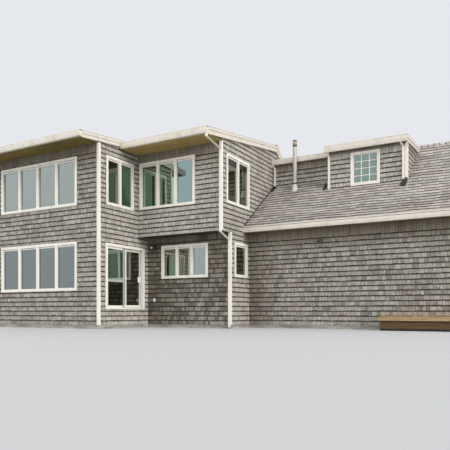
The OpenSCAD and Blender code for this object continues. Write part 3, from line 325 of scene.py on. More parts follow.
def lay_courses(at, across, up, low, high, holes, seed, course, widths, butt, first=0.0, grow=0.0,
                wave=0.0, last=math.inf, shelter=0.9, nook=0.0, bleach=0.0, ragged=0.028, uneven=0.14):
    """Tapered boards in courses on the flat surface at + across * u + up * v.

    Course i starts at v(i) = first + course * i * (1 + grow * i), and none starts above last. Along u it
    is lifted by wave times a long sine wave and a share of a short one, whose phases drift from course to
    course, and each board strays from that by ragged, a share of the course. Board j reaches across from
    e(i, j) to e(i, j + 1), where e is the running sum of random widths, cut at the sides of the holes,
    and up to a little past the next course's foot. low and high are the surface's edges as lists of
    (u, v), straight between them. A board's face stands off by butt at its foot, less the share uneven
    here and there, and by a third of butt at its top.

    Gives points, tone, grain and lie, eight points to a board. tone is random and raised by
    bleach, which stands partly for weathering and partly for painted light and shade on the
    wall. grain is (u, v, w) from a random start. lie holds the distance to the board's left side, the
    distance to the high edge over shelter, or CORNER_SHADE_START plus nook times the
    distance to the side u0 where that is less, and the distance to the foot of the next course.
    """
    rng = np.random.default_rng(seed)
    low, high = np.array(low, float), np.array(high, float)
    u0, u1 = low[0, 0], low[-1, 0]
    row = np.arange(math.floor((low[:, 1].min() - first) / course),
                    math.ceil((high[:, 1].max() - first) / course))[:, None, None]

    def start_of(number):
        """Where a course starts, before the waves lift it."""
        return first + course * number * (1 + grow * number)

    row = row[start_of(row[:, 0, 0]) < last]
    plenty = int((u1 - u0) / np.mean(widths) * 1.3) + 4
    edge = u0 - rng.uniform(0, widths[1], (len(row), 1)) + rng.uniform(*widths, (len(row), plenty)).cumsum(1)
    cuts = np.array([*low[:, 0], *high[:, 0], *(side for hole in holes for side in hole[:2])])
    nearest = cuts[np.abs(edge[:, :, None] - cuts).argmin(2)]
    edge = np.where(np.abs(edge - nearest) < widths[0] / 2, nearest, edge)
    edge = np.concatenate([edge, np.broadcast_to(cuts, (len(row), len(cuts)))], 1)
    edge = np.sort(edge.clip(u0, u1), axis=1)
    left, right = edge[:, :-1, None], edge[:, 1:, None]
    middle = (left + right) / 2
    drift = rng.uniform(0, FULL_TURN, (2, 1, 1, 1)) + rng.normal(
        0, WAVE_DRIFT, (2, len(row) + 1, 1, 1)).cumsum(1)
    stray = rng.normal(0, course * ragged, middle.shape)
    gap = rng.uniform(*JOINT_GAP, middle.shape)
    ends = np.concatenate([left + gap, right - gap], -1)
    inner = middle + (ends - middle) * JUST_INSIDE

    def lift(phase):
        """How far the waves lift a course at the two ends of each board."""
        return wave * (np.sin(ends * LONG_WAVE + phase[0])
                       + SHORT_SHARE * np.sin(ends * SHORT_WAVE + phase[1]))

    foot = start_of(row) + lift(drift[:, :-1]) + stray
    covered = np.where(start_of(row + 1) < last, start_of(row + 1), NEVER_COVERED) + lift(drift[:, 1:])
    head = covered + course * HEAD_LAP
    for side_0, side_1, bottom, top in holes:
        within = (middle > side_0) & (middle < side_1)
        head = np.where(within & (bottom > foot), np.minimum(head, bottom), head)
        foot = np.where(within & (bottom <= foot), np.maximum(foot, top), foot)
    foot = np.maximum(foot, np.interp(inner, low[:, 0], low[:, 1]))
    head = np.minimum(head, np.interp(inner, high[:, 0], high[:, 1]))
    keep = (ends[..., 1] - ends[..., 0] > SMALLEST) & ((head - foot).max(-1) > SMALLEST)
    head = np.maximum(head, foot + THINNEST)
    ends, foot, head, covered = (values[keep] for values in (ends, foot, head, covered))
    boards = len(ends)
    stand = butt * (1 - uneven * rng.random((boards, 1)) + uneven * rng.uniform(-TWIST, 0.0, (boards, 2)))
    thin = stand - (stand - butt / 3) * np.clip((head - foot) / course, 0, 1)
    u = ends[:, BOARD_SIDES]
    v = np.concatenate([foot, head[:, ::-1]] * 2, 1)
    w = np.concatenate([stand, thin[:, ::-1], np.zeros((boards, 4))], 1)
    points = at + u[..., None] * across + v[..., None] * up + w[..., None] * np.cross(across, up)
    tone = np.repeat(rng.random(boards), 8) + bleach
    grain = np.dstack([u, v, w])
    grain[..., :2] += rng.uniform(0, GRAIN_SHIFT, (boards, 1, 2))
    # Painted shade, in part: near the high edge the boards turn brown, as sheltered weathering and as the
    # eaves' and jetty's shade, and nook darkens them towards the side u0 as painted shade.
    cover = (np.interp(u, high[:, 0], high[:, 1]) - v) / shelter
    if nook:
        cover = np.minimum(cover, CORNER_SHADE_START + (u - u0) * nook)
    lie = np.dstack([u - ends[:, :1], cover, covered[:, BOARD_SIDES] - v])
    return points.reshape(-1, 3), tone, grain.reshape(-1, 3), lie.reshape(-1, 3)


def shingle_piece(name, patches, material):
    """Joins patches from lay_courses in one piece, with each board's tone, grain and lie kept on it."""
    points, tone, grain, lie = (np.concatenate(columns) for columns in zip(*patches))
    return board_piece(name, points, material, {"tone": tone, "grain": grain, "lie": lie})


deck_left, deck_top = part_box("deck_boards")[0].x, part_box("deck_boards")[1].z
SPLASH_Z = (deck_top + 0.167, deck_top + 0.127)
SPLASH_X = (deck_left - 0.61, deck_left + 0.19)
JOINT_SHADE = (0.013, 0.004)
FOOT_SHADE = (0.0045, 0.002)


def shingle_material(name, silver, grey, brown, dark, spread, patches, own, streaks, depth, joints, line_h,
                     lichen=0.0, lichen_x=(0.0, 1.0), lichen_z=0.0):
    """Weathered cedar with grain that is depth metres deep. It goes from grey to silver by the board, as
    far as spread says, in patches, so many to the metre, and in specks of its own. Coats are mixed in
    over that, each by its share: rosy and green blooms, pale specks and painted glints, brown along the
    grain, brown near the high edge as sheltered weathering and painted shade, a stain low down beside
    the deck, lichen, dark where the tone is below 0, which is dark boards and, on walls with a low
    bleach, painted shade, dark in the fibres, and painted shade at the joints, in the shade
    line under the next course and under the foot."""
    material, place = new_material(name)
    tone = place.node("Attribute", {"attribute_name": "tone"}, out=2)
    grain = place.node("Attribute", {"attribute_name": "grain"}, out=1)
    lie = place.node("Attribute", {"attribute_name": "lie"}, out=1)
    fibre = grain.clouds((230, 8, 0), 3)
    streak = grain.clouds((38, 3, 0), 3)
    mottle = grain.clouds((34, 20, 0))
    bloom = place.clouds((1.7, 1.7, 4.0), 3)
    age = tone * spread + place.clouds(patches, 3) * (0.9 - own) + mottle * own + 0.05 - spread / 2
    colour = age.rise(0.05, 0.95).mix(grey, silver)
    coats = (
        (bloom.rise(0.5, 0.75) * 0.3, rgb(158, 136, 126)),
        (bloom.rise(0.5, 0.25) * 0.3, rgb(138, 142, 116)),
        (mottle.rise(0.57, 0.69) * own, rgb(206, 200, 190)),
        # Painted glints: sparse pale lumps on the boards.
        (grain.clouds((13, 11, 0), 1).rise(0.66, 0.73) * own * 1.8, rgb(218, 212, 204)),
        (streak.rise(0.5, 0.75) * streaks, brown),
        # Brown near the high edge: sheltered weathering and painted shade of the eaves and jetty.
        (lie.part("Y").rise(1.0, 0.1) * (streak * 0.7 + 0.5) * 0.9, brown),
        (place.part("Z").rise(*SPLASH_Z) * place.part("X").rise(*SPLASH_X) * 0.3, rgb(156, 140, 106)),
        (place.part("X").band(*lichen_x, 0.5, 0.4) * place.part("Z").past(lichen_z, -0.1)
         * place.clouds((3, 9, 9)).rise(0.45, 0.6) * lichen, rgb(176, 122, 84)),
        # Dark where the tone is below 0: dark boards, and painted shade where bleach is low.
        (tone.rise(0.0, -0.7) * 0.5, dark),
        (fibre.rise(0.42, 0.7) * streaks * 0.8, dark),
        # Painted shade at the joints, under the next course and under the foot.
        (lie.part("X").rise(*JOINT_SHADE) * joints, dark),
        (lie.part("Z").rise(line_h, line_h / 3), dark),
        (grain.part("Z").rise(*FOOT_SHADE), dark))
    for share, coat in coats:
        colour = share.mix(colour, coat)
    shade(place, {"Base Color": colour, "Roughness": fibre * 0.15 + 0.8}, fibre + streak * 0.7, depth)
    return material


wall_shingle = shingle_material(
    "weathered_wall_shingle", rgb(190, 184, 173), rgb(126, 121, 111), rgb(104, 95, 76), rgb(36, 31, 23),
    spread=0.34, patches=(0.9, 0.9, 1.6), own=0.4, streaks=0.5, depth=0.0014, joints=0.8, line_h=0.06)

WALL_TRIM = ("left_windows", "centre_windows", "wing_windows", "door_frame", "corner_boards")
FRAMES = [box for node in WALL_TRIM for box in solids_of(node)]
PROUD = 0.005
SET_IN = (-0.3, 0.001)
LOW_SLAB = 0.2
WING_SLAB = 0.19
DORMER_SLAB = 0.15
RAKE_H = 0.223
DORMER_RAKE = 0.19
TOP_COURSE = 0.19
STEP = 1e-4


def level(a, b, z):
    """A level edge from station a to station b."""
    return [(a, z), (b, z)]


def follow(line, drop, *stations):
    """An edge that keeps a distance below a roof's top at these stations."""
    return [(s, line(s) - drop) for s in stations]


def wall_courses(start, end, low, high, seed, extra=(), **look):
    """Shingles on the wall that runs from start to end in plan, with the outside on its right. low and
    high are each one height, or heights at stations along it. Windows, doors and corner boards that
    cross the wall's face are holes. Under a level soffit the last course is about double."""
    start, end = np.array([*start, 0.0]), np.array([*end, 0.0])
    length = np.linalg.norm(end - start)
    across = (end - start) / length
    out = np.cross(across, UP)
    along, face = np.abs(across).argmax(), np.abs(out).argmax()

    def station(value):
        """How far along the wall a coordinate lies."""
        return (value - start[along]) * across[along]

    def edge(line):
        """The wall's low or high edge as a list of stations and heights."""
        return level(0.0, length, line) if np.ndim(line) == 0 else sorted((station(s), z) for s, z in line)

    holes = [(station(a), station(b), bottom, top) for a, b, bottom, top in extra]
    for lowest, highest in FRAMES:
        reach = np.sort((np.array([lowest[face], highest[face]]) - start[face]) * out[face])
        sides = np.sort([station(lowest[along]), station(highest[along])])
        crosses_face = reach[1] > PROUD and SET_IN[0] < reach[0] < SET_IN[1]
        if crosses_face and sides[0] < length and sides[1] > 0:
            holes.append((*sides, lowest[2], highest[2]))
    heights = [z for s, z in edge(high)]
    last = min(heights) - TOP_COURSE if max(heights) - min(heights) < 0.01 else math.inf
    return lay_courses(start, across, UP, edge(low), edge(high), holes, seed, first=foot_z, last=last,
                       **WALL_BOARDS, **look)


foot_z = foundation_z - OVERHANG
y_wing_eave = max(lowest[1] for lowest, highest in solids_of("house_gutters") if lowest[1] < 0)
y_cross = meeting(wing_top, back_top, y_wing_ridge)
y_rake_end = meeting(wing_top, back_top, y_wing_ridge, RAKE_H)
y_large_end = meeting(wing_top, large_top, y_large)
y_small_end = meeting(wing_top, small_top, y_small)

# Painted light and shade: bleach lightens or darkens each wall, partly as weathering. The centre block's low
# wall under the jetty is painted darkest, by shelter, nook and bleach, as painted shade, and the wing's
# front is painted darker near the centre block.
shingle_piece("left_wall_shingles", [
    wall_courses((x_left, y_left), (x_corner, y_left), foot_z, left_soffit_z, 11, shelter=1.2, bleach=-0.3),
    wall_courses((x_corner, y_left), (x_corner, y_lower), foot_z,
                 follow(left_top, LOW_SLAB, y_left, y_lower), 12,
                 [(y_upper, y_lower, jetty_z, cad_box[1].z)], shelter=0.2, bleach=0.2),
    wall_courses((x_left, y_back), (x_left, y_left), foot_z,
                 follow(left_top, LOW_SLAB, y_left, y_left_ridge) + follow(back_top, LOW_SLAB, y_back), 13),
], wall_shingle)
shingle_piece("centre_wall_shingles", [
    wall_courses((x_corner, y_lower), (x_centre, y_lower), foot_z, jetty_z, 21,
                 shelter=2.8, nook=0.3, bleach=-0.8),
    wall_courses((x_corner, y_upper), (x_centre, y_upper), jetty_z - OVERHANG, centre_soffit_z, 22,
                 bleach=0.35),
    wall_courses((x_centre, y_upper), (x_centre, y_wing_eave),
                 level(y_upper, y_lower, jetty_z - OVERHANG) + level(y_lower + STEP, y_wing_eave, foot_z),
                 follow(centre_top, RAKE_H, y_upper, y_wing_eave), 23, shelter=0.2, bleach=0.2),
    wall_courses((x_centre, y_wing_eave), (x_centre, y_wing), foot_z, wing_soffit_z, 24),
    wall_courses((x_centre, y_wing_eave), (x_centre, y_rake_end),
                 follow(wing_top, 0, y_wing_eave, y_rake_end),
                 follow(centre_top, RAKE_H, y_wing_eave, y_centre_ridge)
                 + follow(back_top, RAKE_H, y_rake_end), 25, shelter=0.2, bleach=0.2),
], wall_shingle)
shingle_piece("wing_wall_shingles", [
    wall_courses((x_centre, y_wing), (x_right, y_wing), foot_z, wing_soffit_z, 31, nook=0.6, bleach=-0.35),
    wall_courses((x_right, y_wing), (x_right, y_back), foot_z,
                 follow(wing_top, WING_SLAB, y_wing, y_wing_ridge)
                 + follow(wing_back_top, WING_SLAB, y_back), 32),
], wall_shingle)
shingle_piece("back_wall_shingles", [
    wall_courses((x_right, y_back), (x_left, y_back), foot_z, wing_soffit_z, 41),
    wall_courses((x_centre, y_back), (x_centre, y_cross), follow(back_top, 0, y_back, y_cross),
                 follow(wing_top, WING_SLAB, y_cross, y_wing_ridge)
                 + follow(wing_back_top, WING_SLAB, y_back), 42),
], wall_shingle)
shingle_piece("dormer_wall_shingles", [
    wall_courses((x_centre, y_small), (x_large, y_small), wing_top(y_small),
                 small_top(y_small) - DORMER_SLAB, 51, shelter=0.6, bleach=0.3),
    wall_courses((x_large, y_large), (x_large_end, y_large), wing_top(y_large),
                 large_top(y_large) - DORMER_SLAB, 52, shelter=0.2, bleach=0.35),
    wall_courses((x_large_end, y_large), (x_large_end, y_large_end),
                 follow(wing_top, 0, y_large, y_large_end),
                 follow(large_top, DORMER_RAKE, y_large, y_large_end), 53, shelter=0.4, bleach=0.1),
    wall_courses((x_large, y_small), (x_large, y_large), follow(wing_top, 0, y_large, y_small),
                 follow(large_top, DORMER_SLAB, y_large, y_small), 54),
], wall_shingle)

# Roof shingles: the same cedar, sawn, nailed over the roof slabs in wavy courses that widen a little up
# the slope. They reach over the gutters and the strips on the rakes, and stop at the dormers' walls. A
# rusty patch of lichen grows low on the wing's front slope.
ROOF_BOARDS = {"course": 0.16, "widths": (0.1, 0.3), "butt": 0.018, "grow": 0.011, "wave": 0.018,
               "shelter": 0.01, "ragged": 0.03, "uneven": 0.2}
GUTTER_LAP = 0.102
BACK_LAP = 0.094
DORMER_LAP = 0.086
EDGE_GAP = 0.002
PAST_EDGE = 1.0
roof_shingle = shingle_material(
    "weathered_roof_shingle", rgb(204, 197, 187), rgb(114, 107, 99), rgb(134, 123, 113), rgb(22, 19, 16),
    spread=0.24, patches=(0.7, 3, 3), own=0.25, streaks=0.3, depth=0.0008, joints=0.5, line_h=0.075,
    lichen=0.45, lichen_x=(5.4, 6.9), lichen_z=wing_top(y_wing) - 0.02)


def roof_courses(line, x0, x1, y_low, y_high, seed, holes=()):
    """Shingles on a slope between x0 and x1, from y_low at the eave up to y_high at the ridge: u runs
    level along the slope and v straight up it. Holes are given in plan, as (x0, x1, y nearest the eave,
    y nearest the ridge)."""
    facing = 1.0 if y_high > y_low else -1.0
    rise = (line(y_high) - line(y_low)) / abs(y_high - y_low)
    stretch = math.hypot(1.0, rise)
    up = np.array([0.0, facing, rise]) / stretch
    across = np.array([facing, 0.0, 0.0])
    at = np.array([x0 if facing > 0 else x1, y_low, line(y_low)])

    def cut(hole):
        """A hole in plan as (u, u, v, v) on the slope."""
        sides = sorted((x - at[0]) * facing for x in hole[:2])
        return (*sides, (hole[2] - y_low) * facing * stretch, (hole[3] - y_low) * facing * stretch)

    top = abs(y_high - y_low) * stretch
    return lay_courses(at, across, up, level(0.0, x1 - x0, 0.0), level(0.0, x1 - x0, top),
                       [cut(hole) for hole in holes], seed, **ROOF_BOARDS)


rake_out = x_left - cad_box[0].x
x_out_left, x_out_right = x_left - rake_out + EDGE_GAP, x_right + rake_out - EDGE_GAP
x_step = x_corner + rake_out
y_left_low, y_centre_low, y_wing_low = (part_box(roof)[0].y - GUTTER_LAP for roof in FRONT_ROOFS)
y_back_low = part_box("wing_back_roof")[1].y + BACK_LAP
y_small_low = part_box("small_dormer_roof")[0].y - DORMER_LAP
y_large_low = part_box("large_dormer_roof")[0].y - DORMER_LAP
shingle_piece("low_roof_shingles", [
    roof_courses(left_top, x_out_left, x_step, y_left_low, y_left_ridge, 61),
    roof_courses(centre_top, x_step, x_centre + rake_out, y_centre_low, y_centre_ridge, 62),
], roof_shingle)
shingle_piece("back_roof_shingles", [
    roof_courses(back_top, x_out_left, x_step, y_back_low, y_left_ridge, 63),
    roof_courses(back_top, x_step, x_centre + rake_out, y_back_low, y_centre_ridge, 64,
                 [(x_centre, x_centre + rake_out + PAST_EDGE, y_back_low + PAST_EDGE, y_cross)]),
], roof_shingle)
shingle_piece("wing_front_shingles", [
    roof_courses(wing_top, x_centre, x_out_right, y_wing_low, y_wing_ridge, 65,
                 [(x_centre, x_large, y_small, y_small_end), (x_large, x_large_end, y_large, y_large_end)]),
], roof_shingle)
shingle_piece("wing_back_shingles", [
    roof_courses(wing_back_top, x_centre, x_out_right, y_back_low, y_wing_ridge, 66),
], roof_shingle)
shingle_piece("dormer_roof_shingles", [
    roof_courses(small_top, x_centre, x_large, y_small_low, y_small_end, 67),
    roof_courses(large_top, x_large, x_large_end + rake_out, y_large_low, y_large_end, 68),
    roof_courses(large_top, x_large - rake_out, x_large, y_large_low, y_small_low, 69),
], roof_shingle)

# Ridges: cedar caps, one board on each slope, nailed along the ridge so that each laps the one before
# it. They cover the heads of the last courses on both slopes.
CAP_STEP = 0.2
CAP_LAP = 1.2
FOOT_RISE = (0.9, 1.0)
HEAD_RISE = (0.7, 0.75)


def ridge_boards(x0, x1, y, y_out, top, slope, seed):
    """Caps on one slope of a ridge at y, out to y_out, where the slope falls by slope for each metre.
    Board i runs from x0 + i * CAP_STEP, CAP_LAP steps long. It stands above the slope by the difference
    of the heights in top, times a random share in FOOT_RISE at its foot and in HEAD_RISE at its head."""
    rng = np.random.default_rng(seed)
    count = math.ceil((x1 - x0) / CAP_STEP)
    foot = x0 + np.arange(count) * CAP_STEP
    head = np.minimum(foot + CAP_STEP * CAP_LAP, x1)
    rise = np.stack([rng.uniform(*FOOT_RISE, count), rng.uniform(*HEAD_RISE, count)], 1)
    rise[0, 0] = 1.0
    x = np.stack([foot, foot, head, head] * 2, 1)
    sides = (y, y_out) if y_out < y else (y_out, y)
    ys = np.tile([sides[0], sides[1], sides[1], sides[0]] * 2, (count, 1))
    lift = np.concatenate([rise[:, [0, 0, 1, 1]] * (top[1] - top[0]), np.zeros((count, 4))], 1)
    z = top[0] - slope * np.abs(ys - y) + lift
    grain = np.dstack([ys + rng.uniform(0, GRAIN_SHIFT, (count, 1)), x, lift])
    lie = np.dstack([np.ones(x.shape), np.ones(x.shape), (foot[:, None] + CAP_STEP - x) * 2])
    return (np.dstack([x, ys, z]).reshape(-1, 3), np.repeat(rng.random(count), 8), grain.reshape(-1, 3),
            lie.reshape(-1, 3))


ridges = []
for number, (lowest, highest) in enumerate(solids_of("ridge_caps")):
    y_ridge = (lowest[1] + highest[1]) / 2
    blocks_passed = int(highest[0] > x_corner + 1) + int(lowest[0] > x_centre - 1)
    front, back = ((left_top, back_top), (centre_top, back_top), (wing_top, wing_back_top))[blocks_passed]
    top = (front(y_ridge), highest[2])
    ridges += [ridge_boards(lowest[0], highest[0], y_ridge, y_out, top, line(y_ridge) - line(y_ridge + side),
                            seed + number)
               for y_out, line, side, seed in ((lowest[1], front, -1, 81), (highest[1], back, 1, 91))]
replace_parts(shingle_piece("ridge_shingles", ridges, roof_shingle), "ridge_caps")

# Flashing: a strip of dark lead, dressed up the centre block's side wall and tucked under its shingles,
# where the wing's roof meets it.
FLASHING_H = 0.07
FLASHING_T = 0.028
FLASHING_ENDS = (y_wing_eave + 0.05, y_small - 0.02)
BOX_PICK = np.array([[0, 0, 0], [1, 0, 0], [1, 0, 1], [0, 0, 1], [0, 1, 0], [1, 1, 0], [1, 1, 1], [0, 1, 1]])
lead = plain_finish("dark_lead", (9, 9, 9), 0.7, 0.001, rgb(44, 41, 37), rgb(82, 76, 68), detail=3,
                    metallic=0.2)
far, inner, up = BOX_PICK.T
y_flash = np.where(far, FLASHING_ENDS[1], FLASHING_ENDS[0])
board_piece("roof_flashing", np.stack([x_centre + FLASHING_T * (1 - inner), y_flash,
                                       wing_top(y_flash) + FLASHING_H * up], 1), lead)

# Roof boards: rough boards nailed on the rafters, which carry the shingles. They show only as dark
# edges, with the same look as the walls' sheathing.
dress(sheathing, *(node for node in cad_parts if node.endswith("_roof")))

# Painted trim: corner boards, window trim and the door's frame, of fir boards nailed on, and the large
# downspout, all brushed with cream oil paint that is a little dirty here and there.
BRUSH = (40, 40, 12)
BRUSH_DEPTH = 0.0006


def paint(name, clean, dirty, wear):
    """Cream paint that is dirty in patches and specks, as far as wear says, with faint brush marks."""
    material, place = new_material(name)
    grime = place.clouds((2.5, 2.5, 1.2), 3).rise(0.45, 0.8)
    speck = place.clouds((14, 14, 5), 3).rise(0.6, 0.75)
    colour = (grime * wear).mix(clean, dirty)
    colour = (speck * wear * 0.5).mix(colour, dirty)
    shade(place, {"Base Color": colour, "Roughness": 0.5}, place.clouds(BRUSH, 3), BRUSH_DEPTH)
    return material


trim_paint = paint("cream_trim_paint", rgb(219, 214, 202), rgb(184, 176, 158), 0.4)
dress(trim_paint, *WALL_TRIM, "centre_downspout")

# Rakes: boards nailed along the gables' edges with a strip over them, brushed with the same paint, which
# has gone chalky with age.
rake_paint = paint("chalky_rake_paint", rgb(200, 191, 177), rgb(168, 156, 136), 0.5)
dress(rake_paint, "rake_boards", "dormer_rakes")

# Gutters: troughs of folded aluminium, enamelled cream, hung along the eaves under the shingles' feet.
# They are a little dirtier than the painted boards.
metal_paint = paint("cream_metal_enamel", rgb(206, 199, 184), rgb(170, 160, 142), 0.5)
dress(metal_paint, "house_gutters", "dormer_gutters")

# Door panels: fir stiles and rails in cream paint. The fixed panel's far stile and middle rail are
# painted grey green, and the edge of the sliding panel's far stile grey, as painted shade.
FAR_STILE = 0.12
NEAR_STILE = 0.07
RAIL_REACH = 0.3
SLIDER_EDGE = 0.055
panel_paint, place = new_material("panel_paint_and_shade")
along, height = place.part("Y"), place.part("Z")
brush = place.clouds(BRUSH, 3)
panel_low, panel_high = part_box("fixed_panel")
slider_low, slider_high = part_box("sliding_panel")
on_fixed = along.past(panel_high.y + 0.02, -0.01)
far_stile = along.past(panel_high.y - FAR_STILE, 0.005) * on_fixed
between_ends = height.band(panel_low.z + RAIL_REACH, panel_high.z - RAIL_REACH, 0.01)
rail = between_ends * along.past(panel_low.y + NEAR_STILE, 0.01)
far_edge = along.past(slider_high.y - SLIDER_EDGE, 0.005)
# Painted shade: grey green on the fixed panel's far stile and middle rail, grey on the slider's edge.
colour = (far_stile + rail * on_fixed).rise(0.0, 1.0).mix(
    brush.mix(rgb(212, 208, 196), rgb(222, 218, 207)), brush.mix(rgb(150, 156, 145), rgb(163, 169, 158)))
colour = (far_edge * 0.8).mix(colour, rgb(132, 132, 126))
shade(place, {"Base Color": colour, "Roughness": 0.5}, brush, BRUSH_DEPTH)
dress(panel_paint, "fixed_panel", "sliding_panel")

# Dormer downspouts: folded aluminium pipes, enamelled cream, strapped to the dormers' walls. The end of
# each near the wing's roof is black rubber, but for the one at the large dormer's left corner.
SHOE_H = 0.1
LEFT_PIPE = (x_large - 0.2, x_large + 0.25)
spout_metal, place = new_material("spout_and_shoe")
wing_slope = wing_top(1.0) - wing_top(0.0)
above_roof = place.part("Z") - place.part("Y") * wing_slope - wing_top(0.0)
shoe = above_roof.past(SHOE_H + 0.005, -0.005) * (1 - place.part("X").band(*LEFT_PIPE, 0.05))
shade(place, {"Base Color": shoe.mix(rgb(216, 210, 195), rgb(34, 32, 30)), "Roughness": 0.5},
      place.clouds(BRUSH, 3), BRUSH_DEPTH)
dress(spout_metal, "dormer_downspouts")

# Door handle: a bow of white enamelled metal, screwed to the sliding panel at both ends, so that a hand
# can reach behind it to pull the panel.
white = plain_finish("white_enamel", (120, 120, 120), 0.3, 0.0001, rgb(226, 224, 216))
dress(white, "door_handle")

# Outlet cover: a hinged lid of moulded white plastic, yellowed a little, screwed to the wall by the
# corner of the centre block.
plastic = plain_finish("white_plastic", (20, 20, 20), 0.4, 0.0004, rgb(214, 212, 204), rgb(228, 226, 220))
dress(plastic, "outlet_cover")

# Vent pipe: rolled galvanised sheet that rises from a pale foot on the wing's roof, with a dark collar, a
# dark band where the cap is clamped, a band of mesh and a dark lid.
LID_H = 0.05
MESH_H = 0.165
CLAMP_H = 0.25
COLLAR_Z = (0.3, 0.355)
BAND_BLUR = 0.005
steel, place = new_material("vent_sheet")
height = place.part("Z")
vent_foot, vent_top = (corner.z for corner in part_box("vent_pipe"))
spangle = place.clouds((22, 22, 9), 3)
mesh_band = height.band(vent_top - MESH_H, vent_top - LID_H + BAND_BLUR, BAND_BLUR)
sheet = mesh_band.mix(spangle.mix(rgb(158, 154, 143), rgb(178, 174, 164)), rgb(146, 130, 104))
sheet = height.past(vent_foot + COLLAR_Z[0], -0.01).mix(sheet, rgb(190, 190, 186))
lid = height.past(vent_top - LID_H, BAND_BLUR)
clamp = height.band(vent_top - CLAMP_H, vent_top - MESH_H, BAND_BLUR)
collar = height.band(vent_foot + COLLAR_Z[0], vent_foot + COLLAR_Z[1], BAND_BLUR)
sheet = (lid + clamp + collar).mix(sheet, rgb(56, 50, 42))
shade(place, {"Base Color": sheet, "Roughness": 0.45, "Metallic": 0.15}, spangle, 0.0006)
dress(steel, "vent_pipe")

# Soffits: stained boards nailed up under the rafters' ends, side by side along the eaves. Their olive
# yellow is partly the stain and partly painted bounce light from the grass, and those of the centre
# block are painted paler, as painted light.
UPPER_EAVES = (5.0, 5.1)
stain, place = new_material("soffit_stain_and_bounce_light")
grain = place.clouds((1.2, 24, 24), 3)
tint = (grain * 0.5 + place.clouds((0.8, 2.5, 1)) * 0.5).rise(0.25, 0.75)
groove = (place.part("Y") * BOARDS_TO_METRE).fraction().rise(0.04, 0.0)
# Painted light: the centre block's soffit is painted paler, and the olive yellow holds bounce light.
centre_soffit_light = place.part("X").rise(x_corner - 0.02, x_corner + 0.02) * place.part("Z").rise(*UPPER_EAVES)
timber = centre_soffit_light.mix(tint.mix(rgb(95, 78, 30), rgb(126, 104, 42)),
                       tint.mix(rgb(144, 120, 68), rgb(176, 150, 94)))
shade(place, {"Base Color": (groove * 0.4).mix(timber, rgb(50, 40, 22)), "Roughness": 0.7}, grain, 0.001)
dress(stain, "soffits")

# Glass: double glazing, held in the sashes and in the door's panels. Each pane is built as a tinted
# mirror, whose tint is painted reflection: in the left block the low panes are darker than the high
# ones, the other windows have tints of their own, which change over from light to light, and the heads
# of the centre block's side windows are painted dark where they mirror the eave's shade.
STOREYS = (2.6, 4.4)
LAST_UPPER_LIGHT = (-1.33, -1.3)
LAST_LOWER_LIGHT = (-1.12, -1.1)
DOOR_RAIL = (1.5, 1.6)
SIDE_MULLION = (-4.4, -4.36)
SHADED_HEAD = (5.33, 5.38)
DORMER_X = (3.0, 3.1)
DORMER_Z = (4.5, 4.6)
glass, place = new_material("window_glass")
across, along, height = (place.part(axis) for axis in "XYZ")
high_up = height.rise(*STOREYS)
# Painted reflections: each tint stands for what that pane mirrors.
centre_upper = across.rise(*LAST_UPPER_LIGHT).mix(rgb(142, 158, 145), rgb(112, 131, 127))
centre_lower = across.rise(*LAST_LOWER_LIGHT).mix(rgb(138, 140, 126), rgb(121, 131, 129))
door_fixed = height.rise(*DOOR_RAIL).mix(rgb(104, 104, 92), rgb(166, 187, 175))
door_lights = along.rise(panel_high.y - 0.02, panel_high.y).mix(door_fixed, rgb(152, 152, 146))
side_window = along.rise(*SIDE_MULLION).mix(rgb(142, 150, 136), rgb(112, 133, 114))
# Painted reflection of the eave's shade on the heads of the centre block's side windows.
centre_side = height.rise(*SHADED_HEAD).mix(rgb(144, 150, 134), rgb(70, 70, 60))
tint = high_up.mix(rgb(101, 108, 108), rgb(127, 134, 129))
for where, reflected_tint in (
        (across.rise(x_corner + 0.01, x_corner + 0.03), high_up.mix(centre_lower, centre_upper)),
        (across.rise(*DORMER_X) * height.rise(*DORMER_Z), rgb(107, 121, 112)),
        (across.band(x_corner - 0.2, x_corner + 0.02, 0.05, 0.01), high_up.mix(door_lights, side_window)),
        (across.band(x_centre - 0.1, x_centre + 0.02, 0.02, 0.01), centre_side)):
    tint = where.mix(tint, reflected_tint)
ripple = place.clouds((1.3, 1.3, 1.3), 1)
shade(place, {"Base Color": tint, "Roughness": 0.035, "Metallic": 1.0}, ripple, 0.004)
GLAZING = ("left_glass", "centre_glass", "wing_glass")
dress(glass, *GLAZING, "sliding_glass")

# Window sashes: slim wooden frames in white paint, fitted round each pane inside the trim, with a higher
# head. The dormer's sash has bars that part it into lights, three across and four up.
SASH_W = 0.007
SASH_HEAD = 0.038
SASH_T = 0.024
HEAD_SHADOW = 0.011
MUNTIN_W = 0.022
MUNTIN_T = 0.018
sash_paint = paint("white_sash_paint", rgb(222, 219, 211), rgb(196, 190, 176), 0.25)


def boxes(name, bars, material):
    """One piece of upright boxes, each given by its lowest and its highest corner."""
    lows, highs = np.array(bars, float).transpose(1, 0, 2)
    return board_piece(name, np.where(BOX_PICK, highs[:, None], lows[:, None]), material)


